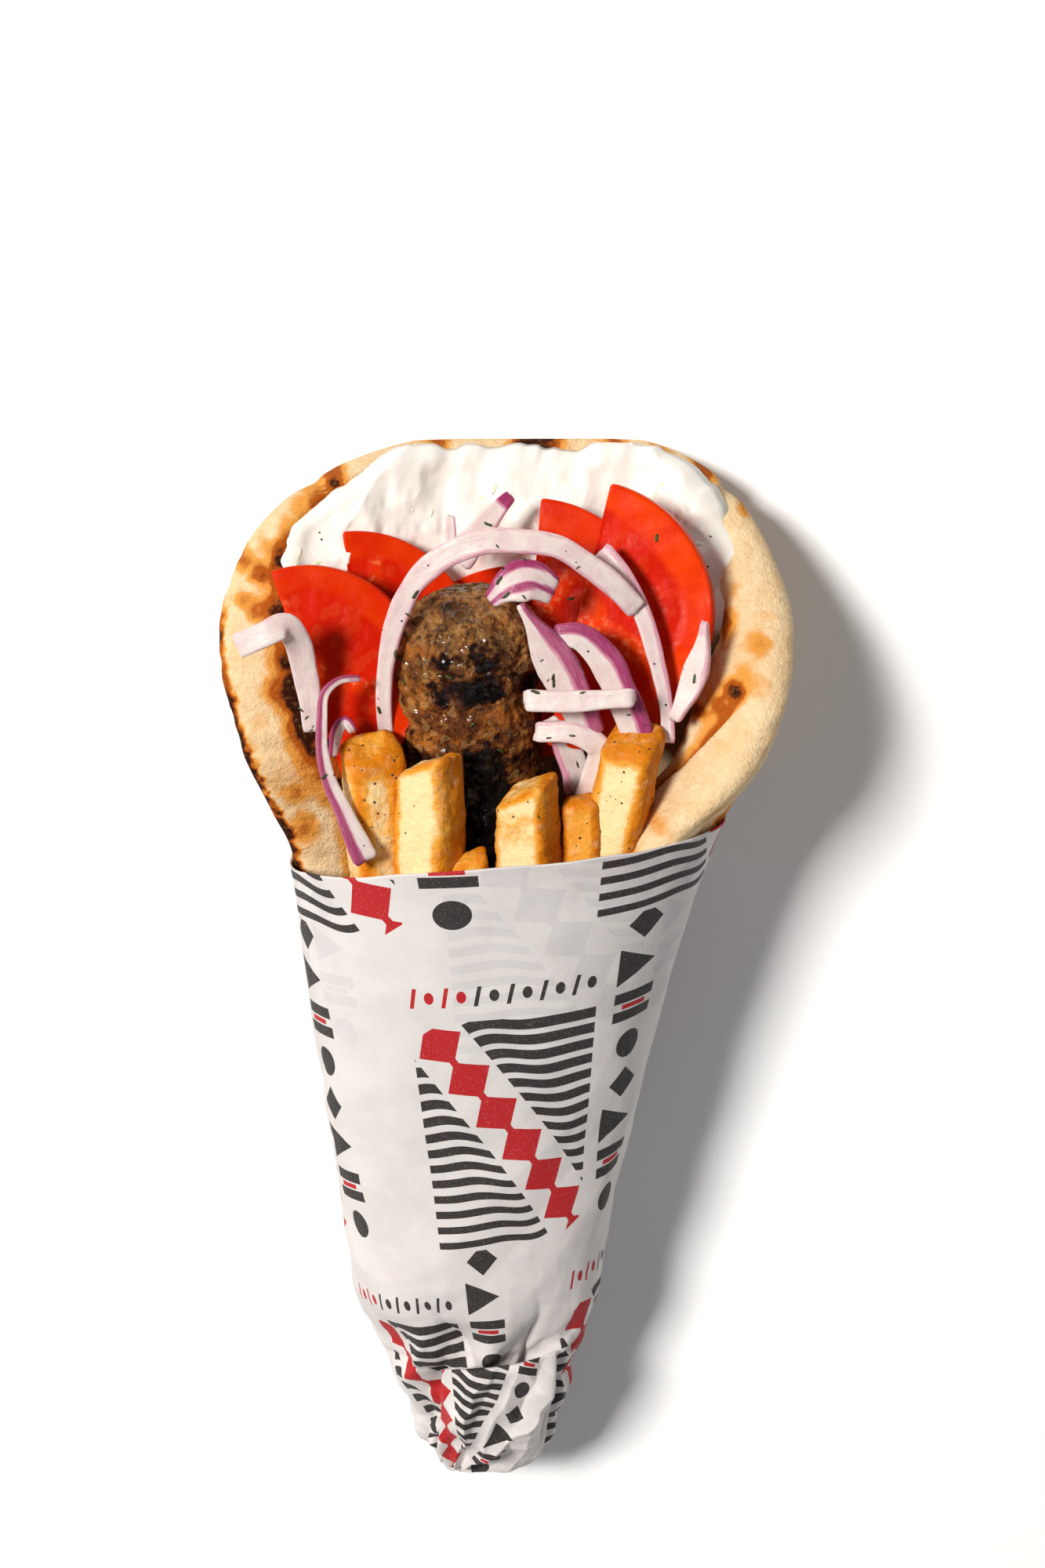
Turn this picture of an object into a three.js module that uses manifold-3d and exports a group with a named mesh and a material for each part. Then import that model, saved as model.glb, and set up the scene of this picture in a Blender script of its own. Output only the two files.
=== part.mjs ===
// A gyro wrap: a flatbread rolled round grilled meat, fries, tomato, red onion and a thick yogurt sauce,
// held in a paper cone whose lower end is crumpled shut. It lies on its back with the open side up.
// Millimetres, +Z up. +Y runs from the crumpled end to the open mouth, and +X is to the right seen from above.
// The origin is on the surface that the wrap lies on, under the middle of its bounding box.
import * as THREE from "three";
import { mergeVertices } from "three/addons/utils/BufferGeometryUtils.js";
import Module from "manifold-3d";

const wasm = await Module();
wasm.setup();

// ---- driving dimensions ----

const CLEARANCE = 0.3; // free gap between neighbouring pieces
const FIT = 0.5; // further gap between the bread and the paper, so that their flat facets don't cross
const ROUNDNESS = 2.3; // exponent of the super-ellipse that every cross-section of the wrap follows
const BASE_SINK = 0.8; // how far each section is pressed flat against the surface it lies on

// The wrap's outer sections: place along the axis, half width, height, and the centre's shift sideways.
const OUTLINE = [
  { y: -111, half: 13.5, height: 20, shift: -4 },
  { y: -102, half: 18, height: 28, shift: -4.5 },
  { y: -88, half: 21.5, height: 36, shift: -4.5 },
  { y: -70, half: 26, height: 42, shift: -6 },
  { y: -48, half: 28.5, height: 46, shift: -6 },
  { y: -20, half: 33, height: 51, shift: -5 },
  { y: 10, half: 37, height: 57, shift: -3.5 },
  { y: 40, half: 43, height: 63, shift: -1 },
  { y: 60, half: 51, height: 73, shift: 0 },
  { y: 80, half: 55, height: 80, shift: 0 },
  { y: 98, half: 55, height: 82, shift: 1 },
  { y: 112, half: 54, height: 82, shift: 5 },
];

const PAPER = {
  thickness: 0.9, // a few layers of greaseproof paper
  rim: 38.5, // the rim's mean place along the axis
  rimSlant: 5, // how much further up it reaches on the right than on the left, halved
  rimFront: 3.5, // how much further up it reaches at the front than at the back, halved
  floor: -69, // under the bread; below this the paper is crumpled solid
  end: -111,
  folds: 7, // pleats round the crumpled end
  foldDepth: 0.09, // as a share of the radius
};

const PITA = {
  radius: 89,
  squareness: 2.2, // a flatbread is a little squarer than a true disc
  centre: 25, // of the disc, along the axis
  bottom: -62,
  top: 112,
  thickness: 10,
  tipThickness: 6.5, // at the far edge, pressed thinner
  leftShare: 0.555, // how much of the way round its left side comes near the paper
  rightReach: 7, // how much further its right side comes round there
};

const SAUCE = { bottom: 58, top: 111, thickness: 9.5, margin: 5 };

const KEBAB = {
  from: [-3.5, 2, 28],
  to: [-6.6, 89, 37],
  radius: 14.5,
  dome: 13, // length of the rounded tip
  bow: 1.6, // how far its middle bends to the left
};

const FRY_BEVEL = 1.6;
// Each fry: its cut tip, its hidden end, its two sides and its roll about its own length in degrees.
const FRIES = [
  { name: "fry_left", tip: [-25.3, 63.5, 49.5], end: [-22, 22, 47], width: 12.5, depth: 11, roll: -22 },
  { name: "fry_front", tip: [-14.3, 62, 53], end: [-14.3, 16, 50], width: 12, depth: 11, roll: 30 },
  { name: "fry_stub", tip: [-7.5, 43.5, 55.5], end: [-4.5, 14, 51], width: 9, depth: 6.5, roll: 0 },
  { name: "fry_middle", tip: [3.8, 57.5, 53.5], end: [4.6, 16, 50], width: 11.5, depth: 11, roll: 25 },
  { name: "fry_short", tip: [14.2, 52.5, 49], end: [14.8, 18, 47], width: 8.6, depth: 10, roll: 8 },
  { name: "fry_right", tip: [24.3, 65.5, 49.5], end: [17, 24, 46], width: 11.5, depth: 11, roll: 20 },
];

// Each tomato slice: the middle of its straight cut, the way it bulges, the way its face looks, and its size.
const TOMATOES = [
  { name: "tomato_right", centre: [14.1, 83.3, 34], bulge: [0.98, -0.21, 0.2], face: [-0.22, 0.22, 1],
    radius: 25.5, thick: 6.5 },
  { name: "tomato_inner_right", centre: [5, 78.5, 25], bulge: [1, -0.05, 0.15], face: [-0.12, 0.25, 1],
    radius: 25, thick: 6 },
  { name: "tomato_middle", centre: [3, 62, 24], bulge: [0.08, 1, -0.3], face: [0, 0.3, 1],
    radius: 28, thick: 6 },
  { name: "tomato_left", centre: [-37.3, 71.6, 37], bulge: [0.945, 0.324, -0.05], face: [0.1, 0.25, 1],
    radius: 21.5, thick: 7 },
  { name: "tomato_low_left", centre: [-20, 74, 30], bulge: [-0.75, -0.65, 0.2], face: [0.2, 0.25, 1],
    radius: 21, thick: 6 },
  { name: "tomato_back_left", centre: [-28.7, 75, 27], bulge: [0.97, 0.1, -0.1], face: [0.05, 0.3, 1],
    radius: 22.5, thick: 6 },
];

// Each onion strip: its width, its thickness, the way its wide side looks, how much of its width is left at its
// first and its last end, and the line that it follows.
const ONIONS = [
  { name: "onion_ring", width: 4.3, thick: 2.6, face: [0, 0.2, 1], taper: [0.7, 1], route: [
    [-22.5, 59.5, 41], [-23, 67.5, 42.5], [-22.5, 75.5, 43.5], [-20.5, 84.5, 44.5], [-16.5, 92.5, 45.5],
    [-10.5, 97.5, 46], [-3.5, 100, 46.5], [2.5, 100, 46.5], [9.5, 99, 46.5], [15, 95.5, 46],
    [20, 91.5, 45.5], [24.5, 86.5, 44.5],
  ] },
  { name: "onion_outer_arc", width: 3.2, thick: 2.2, face: [0, 0.2, 1], taper: [1.2, 0.8], route: [
    [18, 97, 40], [22, 92, 42], [25.5, 85.5, 43.5], [28, 77.5, 44.5], [30, 68.5, 45.5],
    [30.5, 61.5, 46],
  ] },
  { name: "onion_wedge", width: 8.6, thick: 2.6, face: [-0.3, 0.2, 1], taper: [0.2, 0.75], route: [
    [2.5, 89, 49.5], [6.5, 82.5, 49], [10.5, 75, 48], [14, 67.5, 47], [15.5, 63, 46],
  ] },
  { name: "onion_arch", width: 6.4, thick: 2.6, face: [-0.15, 0.2, 1], taper: [0.7, 0.9], route: [
    [9, 82.5, 48], [13.5, 82.5, 48.5], [18, 78.5, 48.5], [21.5, 71.5, 48.5], [24.5, 64, 48],
    [25.5, 60, 47.5],
  ] },
  { name: "onion_bar", width: 3.7, thick: 2.6, face: [0, 0.25, 1], taper: [1, 1], route: [
    [3.5, 71.5, 53], [11, 71.5, 54], [18, 72, 54.5], [23.5, 72.5, 55],
  ] },
  { name: "onion_hook", width: 4.8, thick: 2.2, face: [0, 0.2, 1], taper: [0.8, 1], route: [
    [5.5, 63.5, 46], [13, 63.5, 47], [17.5, 60.5, 47], [16.5, 54.5, 46], [15, 49.5, 45],
  ] },
  { name: "onion_deep", width: 5.5, thick: 2.4, face: [0.3, 0.3, 1], taper: [0.5, 0.9], route: [
    [8, 64.5, 40], [11, 60, 41], [13, 55, 41.5], [13.5, 50, 41.5],
  ] },
  { name: "onion_right", width: 5.2, thick: 2.4, face: [-0.4, 0.2, 1], taper: [0.3, 0.5], route: [
    [37, 84.5, 45.5], [36.5, 79.5, 46], [34.5, 72.5, 46.5], [31.5, 66, 47],
  ] },
  { name: "onion_curl", width: 2.3, thick: 2.2, face: [0.3, 0.2, 1], taper: [0.6, 2], route: [
    [-27, 74.5, 48], [-31, 74.5, 50], [-33.5, 72.5, 52], [-34, 68, 53.5], [-34, 62, 54.5],
    [-32.5, 56, 55.5], [-30.5, 52, 56.5], [-28.5, 47.5, 57.5], [-26, 42, 58],
  ] },
  { name: "onion_over_rim", width: 5, thick: 2, face: [0, 0.3, 1], taper: [1, 0.8], route: [
    [-49.5, 81.5, 52], [-44.5, 84, 53.5], [-40.5, 85.5, 52.5], [-38.5, 82, 50], [-37.5, 76.5, 48],
    [-36.5, 69.5, 47], [-36, 63.5, 46],
  ] },
  { name: "onion_crescent", width: 7.2, thick: 2.6, face: [0.1, 0.4, 1], taper: [0.45, 0.8], route: [
    [-3, 89.5, 50], [0.5, 92.5, 50.5], [4.5, 93.5, 50], [9, 91, 48.5],
  ] },
  { name: "onion_top", width: 4.6, thick: 2, face: [0, 0.3, 1], taper: [0.55, 1.3], route: [
    [1, 104.5, 25], [-2, 101.5, 26.5], [-6, 97, 29], [-9.5, 93, 31],
  ] },
  { name: "onion_sliver", width: 2.2, thick: 1.8, face: [0, 0.3, 1], taper: [0.8, 1], route: [
    [-10.5, 101, 27], [-10.5, 98, 28.5], [-10.5, 94.5, 30.5],
  ] },
  { name: "onion_tuft", width: 2.4, thick: 2.2, face: [0.2, 0.2, 1], taper: [0.7, 0.8], route: [
    [-32.5, 59.5, 48], [-31.5, 64.5, 48.5], [-30, 66.5, 49], [-28.5, 64.5, 49],
  ] },
];

// ---- vectors and interpolation ----

const vector = (list) => new THREE.Vector3(...list);
const mix = THREE.MathUtils.lerp;
const clamp = THREE.MathUtils.clamp;
const radians = THREE.MathUtils.degToRad;

// A smooth curve through one value of the outline's stations.
function alongOutline(y, key) {
  const last = OUTLINE.length - 1;
  let i = 0;
  while (i < last - 1 && y > OUTLINE[i + 1].y) i++;
  const [a, b, c, d] = [i - 1, i, i + 1, i + 2].map((k) => OUTLINE[clamp(k, 0, last)]);
  const t = clamp((y - b.y) / (c.y - b.y), 0, 1);
  const span = c.y - b.y;
  const slopeB = a === b ? (c[key] - b[key]) / span : (c[key] - a[key]) / (c.y - a.y);
  const slopeC = d === c ? (c[key] - b[key]) / span : (d[key] - b[key]) / (d.y - b.y);
  const [t2, t3] = [t * t, t * t * t];
  return (2 * t3 - 3 * t2 + 1) * b[key] + (t3 - 2 * t2 + t) * span * slopeB
    + (3 * t2 - 2 * t3) * c[key] + (t3 - t2) * span * slopeC;
}

// ---- the wrap's cross-section ----

// The point of the section at y, at an angle that is 0 underneath and half a turn at the front, set in from
// the outer surface. The section is flat where it meets the surface that it lies on.
function sectionPoint(y, turn, inset = 0, swell = 1) {
  const half = alongOutline(y, "half") * swell;
  const rise = (alongOutline(y, "height") * swell + BASE_SINK) / 2;
  const [s, c] = [Math.sin(turn), Math.cos(turn)];
  const power = (v, p) => Math.sign(v) * Math.abs(v) ** p;
  const [sx, cz] = [power(s, 2 / ROUNDNESS), power(c, 2 / ROUNDNESS)];
  const normal = new THREE.Vector2(
    power(sx, ROUNDNESS - 1) / half,
    -power(cz, ROUNDNESS - 1) / rise,
  ).normalize();
  const x = alongOutline(y, "shift") + half * sx - normal.x * inset;
  const z = rise * (1 - cz) - BASE_SINK - normal.y * inset;
  return new THREE.Vector3(x, y, Math.max(z, inset));
}

// The angle at which the section's outer line, followed from underneath, reaches a length.
function turnAtLength(y, length) {
  const steps = 90;
  let walked = 0;
  let last = sectionPoint(y, 0);
  for (let i = 1; i <= steps; i++) {
    const next = sectionPoint(y, (Math.PI * i) / steps);
    const step = next.distanceTo(last);
    if (walked + step >= Math.abs(length)) {
      const turn = (Math.PI * (i - 1 + (Math.abs(length) - walked) / step)) / steps;
      return Math.sign(length) * turn;
    }
    walked += step;
    last = next;
  }
  return Math.sign(length) * Math.PI;
}

// ---- closed solids from rings and grids of points ----

function solidFrom(points, faces) {
  const geometry = new THREE.BufferGeometry().setFromPoints(points).setIndex(faces.flat());
  const merged = mergeVertices(geometry, 1e-4);
  const solid = new wasm.Manifold(new wasm.Mesh({
    numProp: 3,
    vertProperties: merged.attributes.position.array,
    triVerts: new Uint32Array(merged.index.array),
  }));
  if (solid.volume() > 0) return solid;
  return solidFrom(points, faces.map((face) => [...face].reverse()));
}

// A skin over a row of rings with equal counts of points, closed by a fan at each end.
function loft(rings) {
  const count = rings[0].length;
  const points = rings.flat();
  const faces = [];
  for (let r = 0; r < rings.length - 1; r++) {
    for (let i = 0; i < count; i++) {
      const j = (i + 1) % count;
      const [a, b, c, d] = [r * count + i, r * count + j, (r + 1) * count + j, (r + 1) * count + i];
      faces.push([a, b, c], [a, c, d]);
    }
  }
  [0, rings.length - 1].forEach((r) => {
    const middle = new THREE.Vector3();
    rings[r].forEach((p) => middle.addScaledVector(p, 1 / count));
    points.push(middle);
    for (let i = 0; i < count; i++) {
      const edge = [r * count + i, r * count + ((i + 1) % count)];
      faces.push(r === 0 ? [points.length - 1, edge[1], edge[0]] : [points.length - 1, ...edge]);
    }
  });
  return solidFrom(points, faces);
}

// A curved slab between two grids of points with the same rows and columns.
function slab(upper, lower) {
  const [rows, columns] = [upper.length, upper[0].length];
  const points = [...upper.flat(), ...lower.flat()];
  const at = (side, r, c) => side * rows * columns + r * columns + c;
  const faces = [];
  for (let r = 0; r < rows - 1; r++) {
    for (let c = 0; c < columns - 1; c++) {
      [0, 1].forEach((side) => {
        const [a, b, d, e] = [at(side, r, c), at(side, r, c + 1), at(side, r + 1, c + 1), at(side, r + 1, c)];
        faces.push(side ? [a, d, b] : [a, b, d], side ? [a, e, d] : [a, d, e]);
      });
    }
  }
  const wall = (r1, c1, r2, c2) => {
    const [a, b, d, e] = [at(0, r1, c1), at(0, r2, c2), at(1, r2, c2), at(1, r1, c1)];
    faces.push([b, a, d], [a, e, d]);
  };
  for (let c = 0; c < columns - 1; c++) {
    wall(0, c, 0, c + 1);
    wall(rows - 1, c + 1, rows - 1, c);
  }
  for (let r = 0; r < rows - 1; r++) {
    wall(r + 1, 0, r, 0);
    wall(r, columns - 1, r + 1, columns - 1);
  }
  return solidFrom(points, faces);
}

// ---- the pieces; grow makes a slightly larger copy that cuts room for the piece in its neighbours ----

function paperRim(turn) {
  return PAPER.rim + PAPER.rimSlant * Math.sin(turn) - PAPER.rimFront * Math.cos(turn);
}

// The paper's outer surface is pleated where it is crumpled shut.
function paperPoint(y, turn, inset) {
  const crumple = THREE.MathUtils.smoothstep(-y, -PAPER.floor - 6, -PAPER.end);
  const pleat = Math.sin(PAPER.folds * turn + 0.06 * y) + 0.5 * Math.sin(3 * turn - 0.11 * y);
  return sectionPoint(y, turn, inset, 1 + PAPER.foldDepth * crumple * pleat);
}

function paper(grow) {
  const around = 36;
  const turns = Array.from({ length: around }, (_, i) => -Math.PI + (2 * Math.PI * i) / around);
  const ring = (place, inset) => turns.map((turn) => paperPoint(place(turn), turn, inset));
  const innerShares = [0, 0.33, 0.67, 1];
  const outerShares = [1, 0.75, 0.5, 0.25, 0];
  const inner = innerShares.map((share) => ring(
    (turn) => mix(PAPER.floor - grow, paperRim(turn) + grow, share),
    PAPER.thickness + grow,
  ));
  const outer = outerShares.map((share) => ring(
    (turn) => mix(PAPER.floor, paperRim(turn) + grow, share),
    -grow,
  ));
  const crumpled = [-78, -87, -95, -102, -107.5, PAPER.end].map((y) => ring(() => y, -grow));
  return loft([...inner, ...outer, ...crumpled]);
}

// Half the length of the section's outer line.
function halfRound(y) {
  const steps = 90;
  const points = Array.from({ length: steps + 1 }, (_, i) => sectionPoint(y, (Math.PI * i) / steps));
  return points.slice(1).reduce((total, point, i) => total + point.distanceTo(points[i]), 0);
}

// How far the bread reaches along its curve at y, to the left where side is negative and else to the right.
function pitaReach(y, side) {
  const off = Math.abs(y - PITA.centre) / PITA.radius;
  const disc = PITA.radius * (1 - off ** PITA.squareness) ** (1 / PITA.squareness);
  if (side >= 0) return disc + PITA.rightReach * (1 - THREE.MathUtils.smoothstep(y, 70, 92));
  const wall = PITA.leftShare * halfRound(y);
  const near = clamp(0.5 + (wall - disc) / 16, 0, 1);
  return mix(wall, disc, near) - 8 * near * (1 - near);
}

// Inside the paper the bread keeps clear of it, and past the rim it settles onto the surface below.
function pitaInset(y, turn) {
  const past = THREE.MathUtils.smoothstep(y, paperRim(turn) + 1, paperRim(turn) + 14);
  return (PAPER.thickness + CLEARANCE + FIT) * (1 - past);
}

function pitaThickness(y) {
  return mix(PITA.thickness, PITA.tipThickness, THREE.MathUtils.smoothstep(y, 70, PITA.top));
}

// A point of the bread: across runs from -1 at its left edge to 1 at its right one, and depth from 0 on its
// outer face to 1 on its inner face.
function pitaPoint(y, across, depth) {
  const turn = turnAtLength(y, across * pitaReach(y, across));
  return sectionPoint(y, turn, pitaInset(y, turn) + depth * pitaThickness(y));
}

function pita(grow) {
  const rows = 16;
  const columns = 21;
  const face = (depth) => Array.from({ length: rows }, (_, r) => {
    const y = mix(PITA.bottom, PITA.top, Math.sin((Math.PI / 2) * (r / (rows - 1)) ** 0.9));
    return Array.from({ length: columns }, (_, c) => {
      const across = Math.sin(((2 * c) / (columns - 1) - 1) * (Math.PI / 2));
      const edge = Math.abs(across) === 1 ? 0.12 : 0;
      return pitaPoint(y, across, depth ? 1 - edge + grow / PITA.thickness : edge - grow / PITA.thickness);
    });
  });
  return slab(face(1), face(0));
}

function sauce() {
  const rows = 9;
  const columns = 15;
  const face = (top) => Array.from({ length: rows }, (_, r) => {
    const y = mix(SAUCE.bottom, SAUCE.top, r / (rows - 1));
    return Array.from({ length: columns }, (_, c) => {
      const across = ((2 * c) / (columns - 1) - 1) * (1 - SAUCE.margin / pitaReach(y, 1));
      const turn = turnAtLength(y, across * pitaReach(y, across));
      const lumps = 1 + 0.14 * Math.sin(9 * across + 0.21 * y) * Math.cos(0.27 * y - 4 * across);
      const border = Math.min(r, rows - 1 - r, c, columns - 1 - c) === 0 ? 0.45 : lumps;
      const under = pitaInset(y, turn) + pitaThickness(y) + CLEARANCE;
      return sectionPoint(y, turn, under + (top ? SAUCE.thickness * border : 0));
    });
  });
  return slab(face(true), face(false));
}

// Rings of points round the straight line from one place to another: each ring says how far along it is, as a
// share, and its outline gives places across and up in the line's own frame.
function lineFrame(from, to, upHint) {
  const axis = new THREE.Vector3().subVectors(to, from);
  const length = axis.length();
  axis.normalize();
  const side = new THREE.Vector3().crossVectors(axis, upHint).normalize();
  const up = new THREE.Vector3().crossVectors(side, axis);
  const place = (along, across, over) => from.clone()
    .addScaledVector(axis, along)
    .addScaledVector(side, across)
    .addScaledVector(up, over);
  return { length, place };
}

const UP = new THREE.Vector3(0, 0, 1);

function kebab(grow) {
  const { length, place } = lineFrame(vector(KEBAB.from), vector(KEBAB.to), UP);
  const sides = 14;
  const rings = [];
  const stops = [0, 0.03, 0.2, 0.38, 0.56, 0.74, 0.87, 0.92, 0.96, 0.99];
  stops.forEach((share) => {
    const along = share * length;
    const toTip = clamp((length - along) / KEBAB.dome, 0, 1);
    const taper = Math.sqrt(1 - (1 - toTip) ** 2) * (share === 0 ? 0.8 : 1);
    const knobbly = 1 + 0.03 * Math.sin(0.16 * along + 1);
    const radius = KEBAB.radius * knobbly * taper + grow;
    const bow = KEBAB.bow * Math.sin(Math.PI * share ** 2.2);
    rings.push(Array.from({ length: sides }, (_, i) => {
      const a = (2 * Math.PI * i) / sides;
      return place(along + (share > 0.98 ? grow : 0), radius * Math.cos(a) - bow, radius * Math.sin(a));
    }));
  });
  return loft(rings);
}

function fry(grow, { tip, end, width, depth, roll }) {
  const { length, place } = lineFrame(vector(end), vector(tip), UP);
  const turn = radians(roll);
  const ring = (along, shrink) => {
    const [w, d] = [width / 2 + grow - shrink, depth / 2 + grow - shrink];
    const b = FRY_BEVEL / 2;
    const outline = [
      [w, d - b], [w - b, d], [b - w, d], [-w, d - b],
      [-w, b - d], [b - w, -d], [w - b, -d], [w, b - d],
    ];
    return outline.map(([x, z]) => place(
      along,
      x * Math.cos(turn) - z * Math.sin(turn),
      x * Math.sin(turn) + z * Math.cos(turn),
    ));
  };
  const b = FRY_BEVEL / 2;
  return loft([ring(-grow, b), ring(b, 0), ring(length - b, 0), ring(length + grow, b)]);
}

function tomato(grow, { centre, bulge, face, radius, thick }) {
  const out = vector(bulge).normalize();
  const side = new THREE.Vector3().crossVectors(vector(face), out).normalize();
  const up = new THREE.Vector3().crossVectors(out, side);
  const arc = 11;
  const ring = (level, shrink) => Array.from({ length: arc + 1 }, (_, i) => {
    const a = -Math.PI / 2 + (Math.PI * i) / arc;
    const r = radius + grow - shrink;
    const cut = i === 0 || i === arc;
    return vector(centre)
      .addScaledVector(out, cut ? -grow : r * Math.cos(a))
      .addScaledVector(side, r * Math.sin(a))
      .addScaledVector(up, level);
  });
  const half = thick / 2 + grow;
  return loft([ring(-half, 0.8), ring(0.6 - half, 0), ring(half - 0.6, 0), ring(half, 0.8)]);
}

function onion(grow, { width, thick, face, taper, route }) {
  const curve = new THREE.CatmullRomCurve3(route.map(vector), false, "centripetal");
  const steps = Math.max(6, Math.round(curve.getLength() / 5.5));
  const rings = Array.from({ length: steps + 1 }, (_, i) => {
    const share = i / steps;
    const tangent = curve.getTangentAt(share);
    const across = new THREE.Vector3().crossVectors(vector(face), tangent).normalize();
    const up = new THREE.Vector3().crossVectors(tangent, across);
    const end = i === 0 || i === steps;
    const beyond = end ? (i === 0 ? -grow : grow) : 0;
    const toMiddle = Math.min(1, 2 * Math.min(share, 1 - share));
    const slim = mix(taper[share < 0.5 ? 0 : 1], 1, THREE.MathUtils.smoothstep(toMiddle, 0, 1));
    const [w, t] = [(width / 2) * slim + grow, thick / 2 + grow].map((half) => (end ? half * 0.75 : half));
    const outline = [[w, 0], [w * 0.6, t], [-w * 0.6, t], [-w, 0], [-w * 0.6, -t], [w * 0.6, -t]];
    return outline.map(([x, z]) => curve.getPointAt(share)
      .addScaledVector(tangent, beyond)
      .addScaledVector(across, x)
      .addScaledVector(up, z));
  });
  return loft(rings);
}

// ---- fitting: firm pieces come first, and each softer one yields to those before it ----

function recipeFor(item, shape, colour, roughness) {
  return { name: item.name, colour, roughness, make: (grow) => shape(grow, item) };
}

const RECIPES = [
  { name: "paper", colour: 0xe9e6e6, roughness: 0.75, make: paper },
  { name: "kebab", colour: 0x5a3a20, roughness: 0.45, make: kebab },
  ...FRIES.map((item) => recipeFor(item, fry, 0xe2a94f, 0.55)),
  { name: "pita", colour: 0xe6c79a, roughness: 0.85, make: pita },
  ...ONIONS.map((item) => recipeFor(item, onion, 0xe6d3de, 0.3)),
  ...TOMATOES.map((item) => recipeFor(item, tomato, 0xd8300f, 0.25)),
  { name: "yogurt_sauce", colour: 0xf4f1e8, roughness: 0.35, make: sauce },
];

// The largest connected body of a solid, so that a cut leaves no crumbs behind.
function largest(solid) {
  return solid.decompose().reduce((best, body) => (body.volume() > best.volume() ? body : best));
}

function meshOf(solid, { name, colour, roughness }) {
  const { numProp, numVert, vertProperties, triVerts } = solid.getMesh();
  const position = new Float32Array(numVert * 3);
  for (let i = 0; i < numVert; i++) position.set(vertProperties.subarray(i * numProp, i * numProp + 3), i * 3);
  const geometry = new THREE.BufferGeometry();
  geometry.setAttribute("position", new THREE.BufferAttribute(position, 3));
  geometry.setIndex(new THREE.BufferAttribute(new Uint32Array(triVerts), 1));
  geometry.computeVertexNormals();
  const material = new THREE.MeshStandardMaterial({ color: colour, roughness, metalness: 0 });
  const mesh = new THREE.Mesh(geometry, material);
  mesh.name = name;
  return mesh;
}

const gyro = new THREE.Group();
const cutters = [];
for (const recipe of RECIPES) {
  const fitted = cutters.reduce((solid, cutter) => solid.subtract(cutter), recipe.make(0));
  gyro.add(meshOf(largest(fitted), recipe));
  cutters.push(recipe.make(CLEARANCE));
}

export default gyro;
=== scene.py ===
"""A gyro wrap on a pale floor: a flatbread rolled round a grilled kebab, fries, tomato, red onion and yogurt
sauce, held in a printed paper cone whose lower end is crumpled shut. It lies on its back, open side up.

Shapes are worked out in millimetres, in the frame that the CAD model is packed in: +Z up, +Y from the
crumpled end to the mouth, +X to the right seen from above. They become metres when a mesh is made.
"""

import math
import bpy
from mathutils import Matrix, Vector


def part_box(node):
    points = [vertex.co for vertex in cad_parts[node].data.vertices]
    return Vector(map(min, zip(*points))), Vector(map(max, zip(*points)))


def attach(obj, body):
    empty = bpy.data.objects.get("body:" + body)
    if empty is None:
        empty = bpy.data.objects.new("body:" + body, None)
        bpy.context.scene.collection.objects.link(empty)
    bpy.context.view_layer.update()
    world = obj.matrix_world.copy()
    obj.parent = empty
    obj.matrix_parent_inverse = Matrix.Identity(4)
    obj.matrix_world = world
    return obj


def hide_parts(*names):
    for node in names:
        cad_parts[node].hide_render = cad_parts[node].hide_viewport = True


bl_info = {
    "name": "Gyro wrap",
    "version": (1, 0, 0),
    "blender": (4, 5, 0),
    "location": "3D View > Sidebar > Gyro wrap",
    "description": "Makes a gyro wrap in a paper cone, with its filling, finishes, floor, light and camera",
    "category": "Add Mesh",
}

import bpy
import numpy as np
from bpy.props import FloatProperty, FloatVectorProperty, IntProperty, PointerProperty
from mathutils import Matrix, Vector

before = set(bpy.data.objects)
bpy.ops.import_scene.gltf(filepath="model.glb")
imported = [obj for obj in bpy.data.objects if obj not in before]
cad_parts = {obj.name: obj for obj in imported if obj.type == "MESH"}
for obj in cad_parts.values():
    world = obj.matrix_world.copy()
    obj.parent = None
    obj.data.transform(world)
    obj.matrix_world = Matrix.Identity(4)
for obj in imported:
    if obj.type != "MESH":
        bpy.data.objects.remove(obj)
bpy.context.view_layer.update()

MM = 0.001
TURN = 2 * math.pi


def node_box(node):
    """The lowest and highest corners of a CAD node, in millimetres."""
    low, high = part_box(node)
    return np.array(low) / MM, np.array(high) / MM


# ---- the wrap's outer form, as the CAD model has it ----

ROUNDNESS = 2.3
BASE_SINK = 0.8
# Place along the axis, half width, height, and the centre's shift sideways.
OUTLINE = np.array([
    (-111, 13.5, 20, -4),
    (-102, 18, 28, -4.5),
    (-88, 21.5, 36, -4.5),
    (-70, 26, 42, -6),
    (-48, 28.5, 46, -6),
    (-20, 33, 51, -5),
    (10, 37, 57, -3.5),
    (40, 43, 63, -1),
    (60, 51, 73, 0),
    (80, 55, 80, 0),
    (98, 55, 82, 1),
    (112, 54, 82, 5),
])
PAPER_LOW = node_box("paper")[0]
PITA_LOW, PITA_HIGH = node_box("pita")
PAPER_FLOOR = PITA_LOW[1] - 7
RIM = 38.5
RIM_SLANT = 5
RIM_FRONT = 3.5
DISC_RADIUS = 89
DISC_SQUARENESS = 2.2
DISC_CENTRE = 25
LIP_REACH = 7  # how much further the bread's right side comes round near the paper
LEFT_SHARE = 0.555  # how much of the way round its left side comes there


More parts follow.
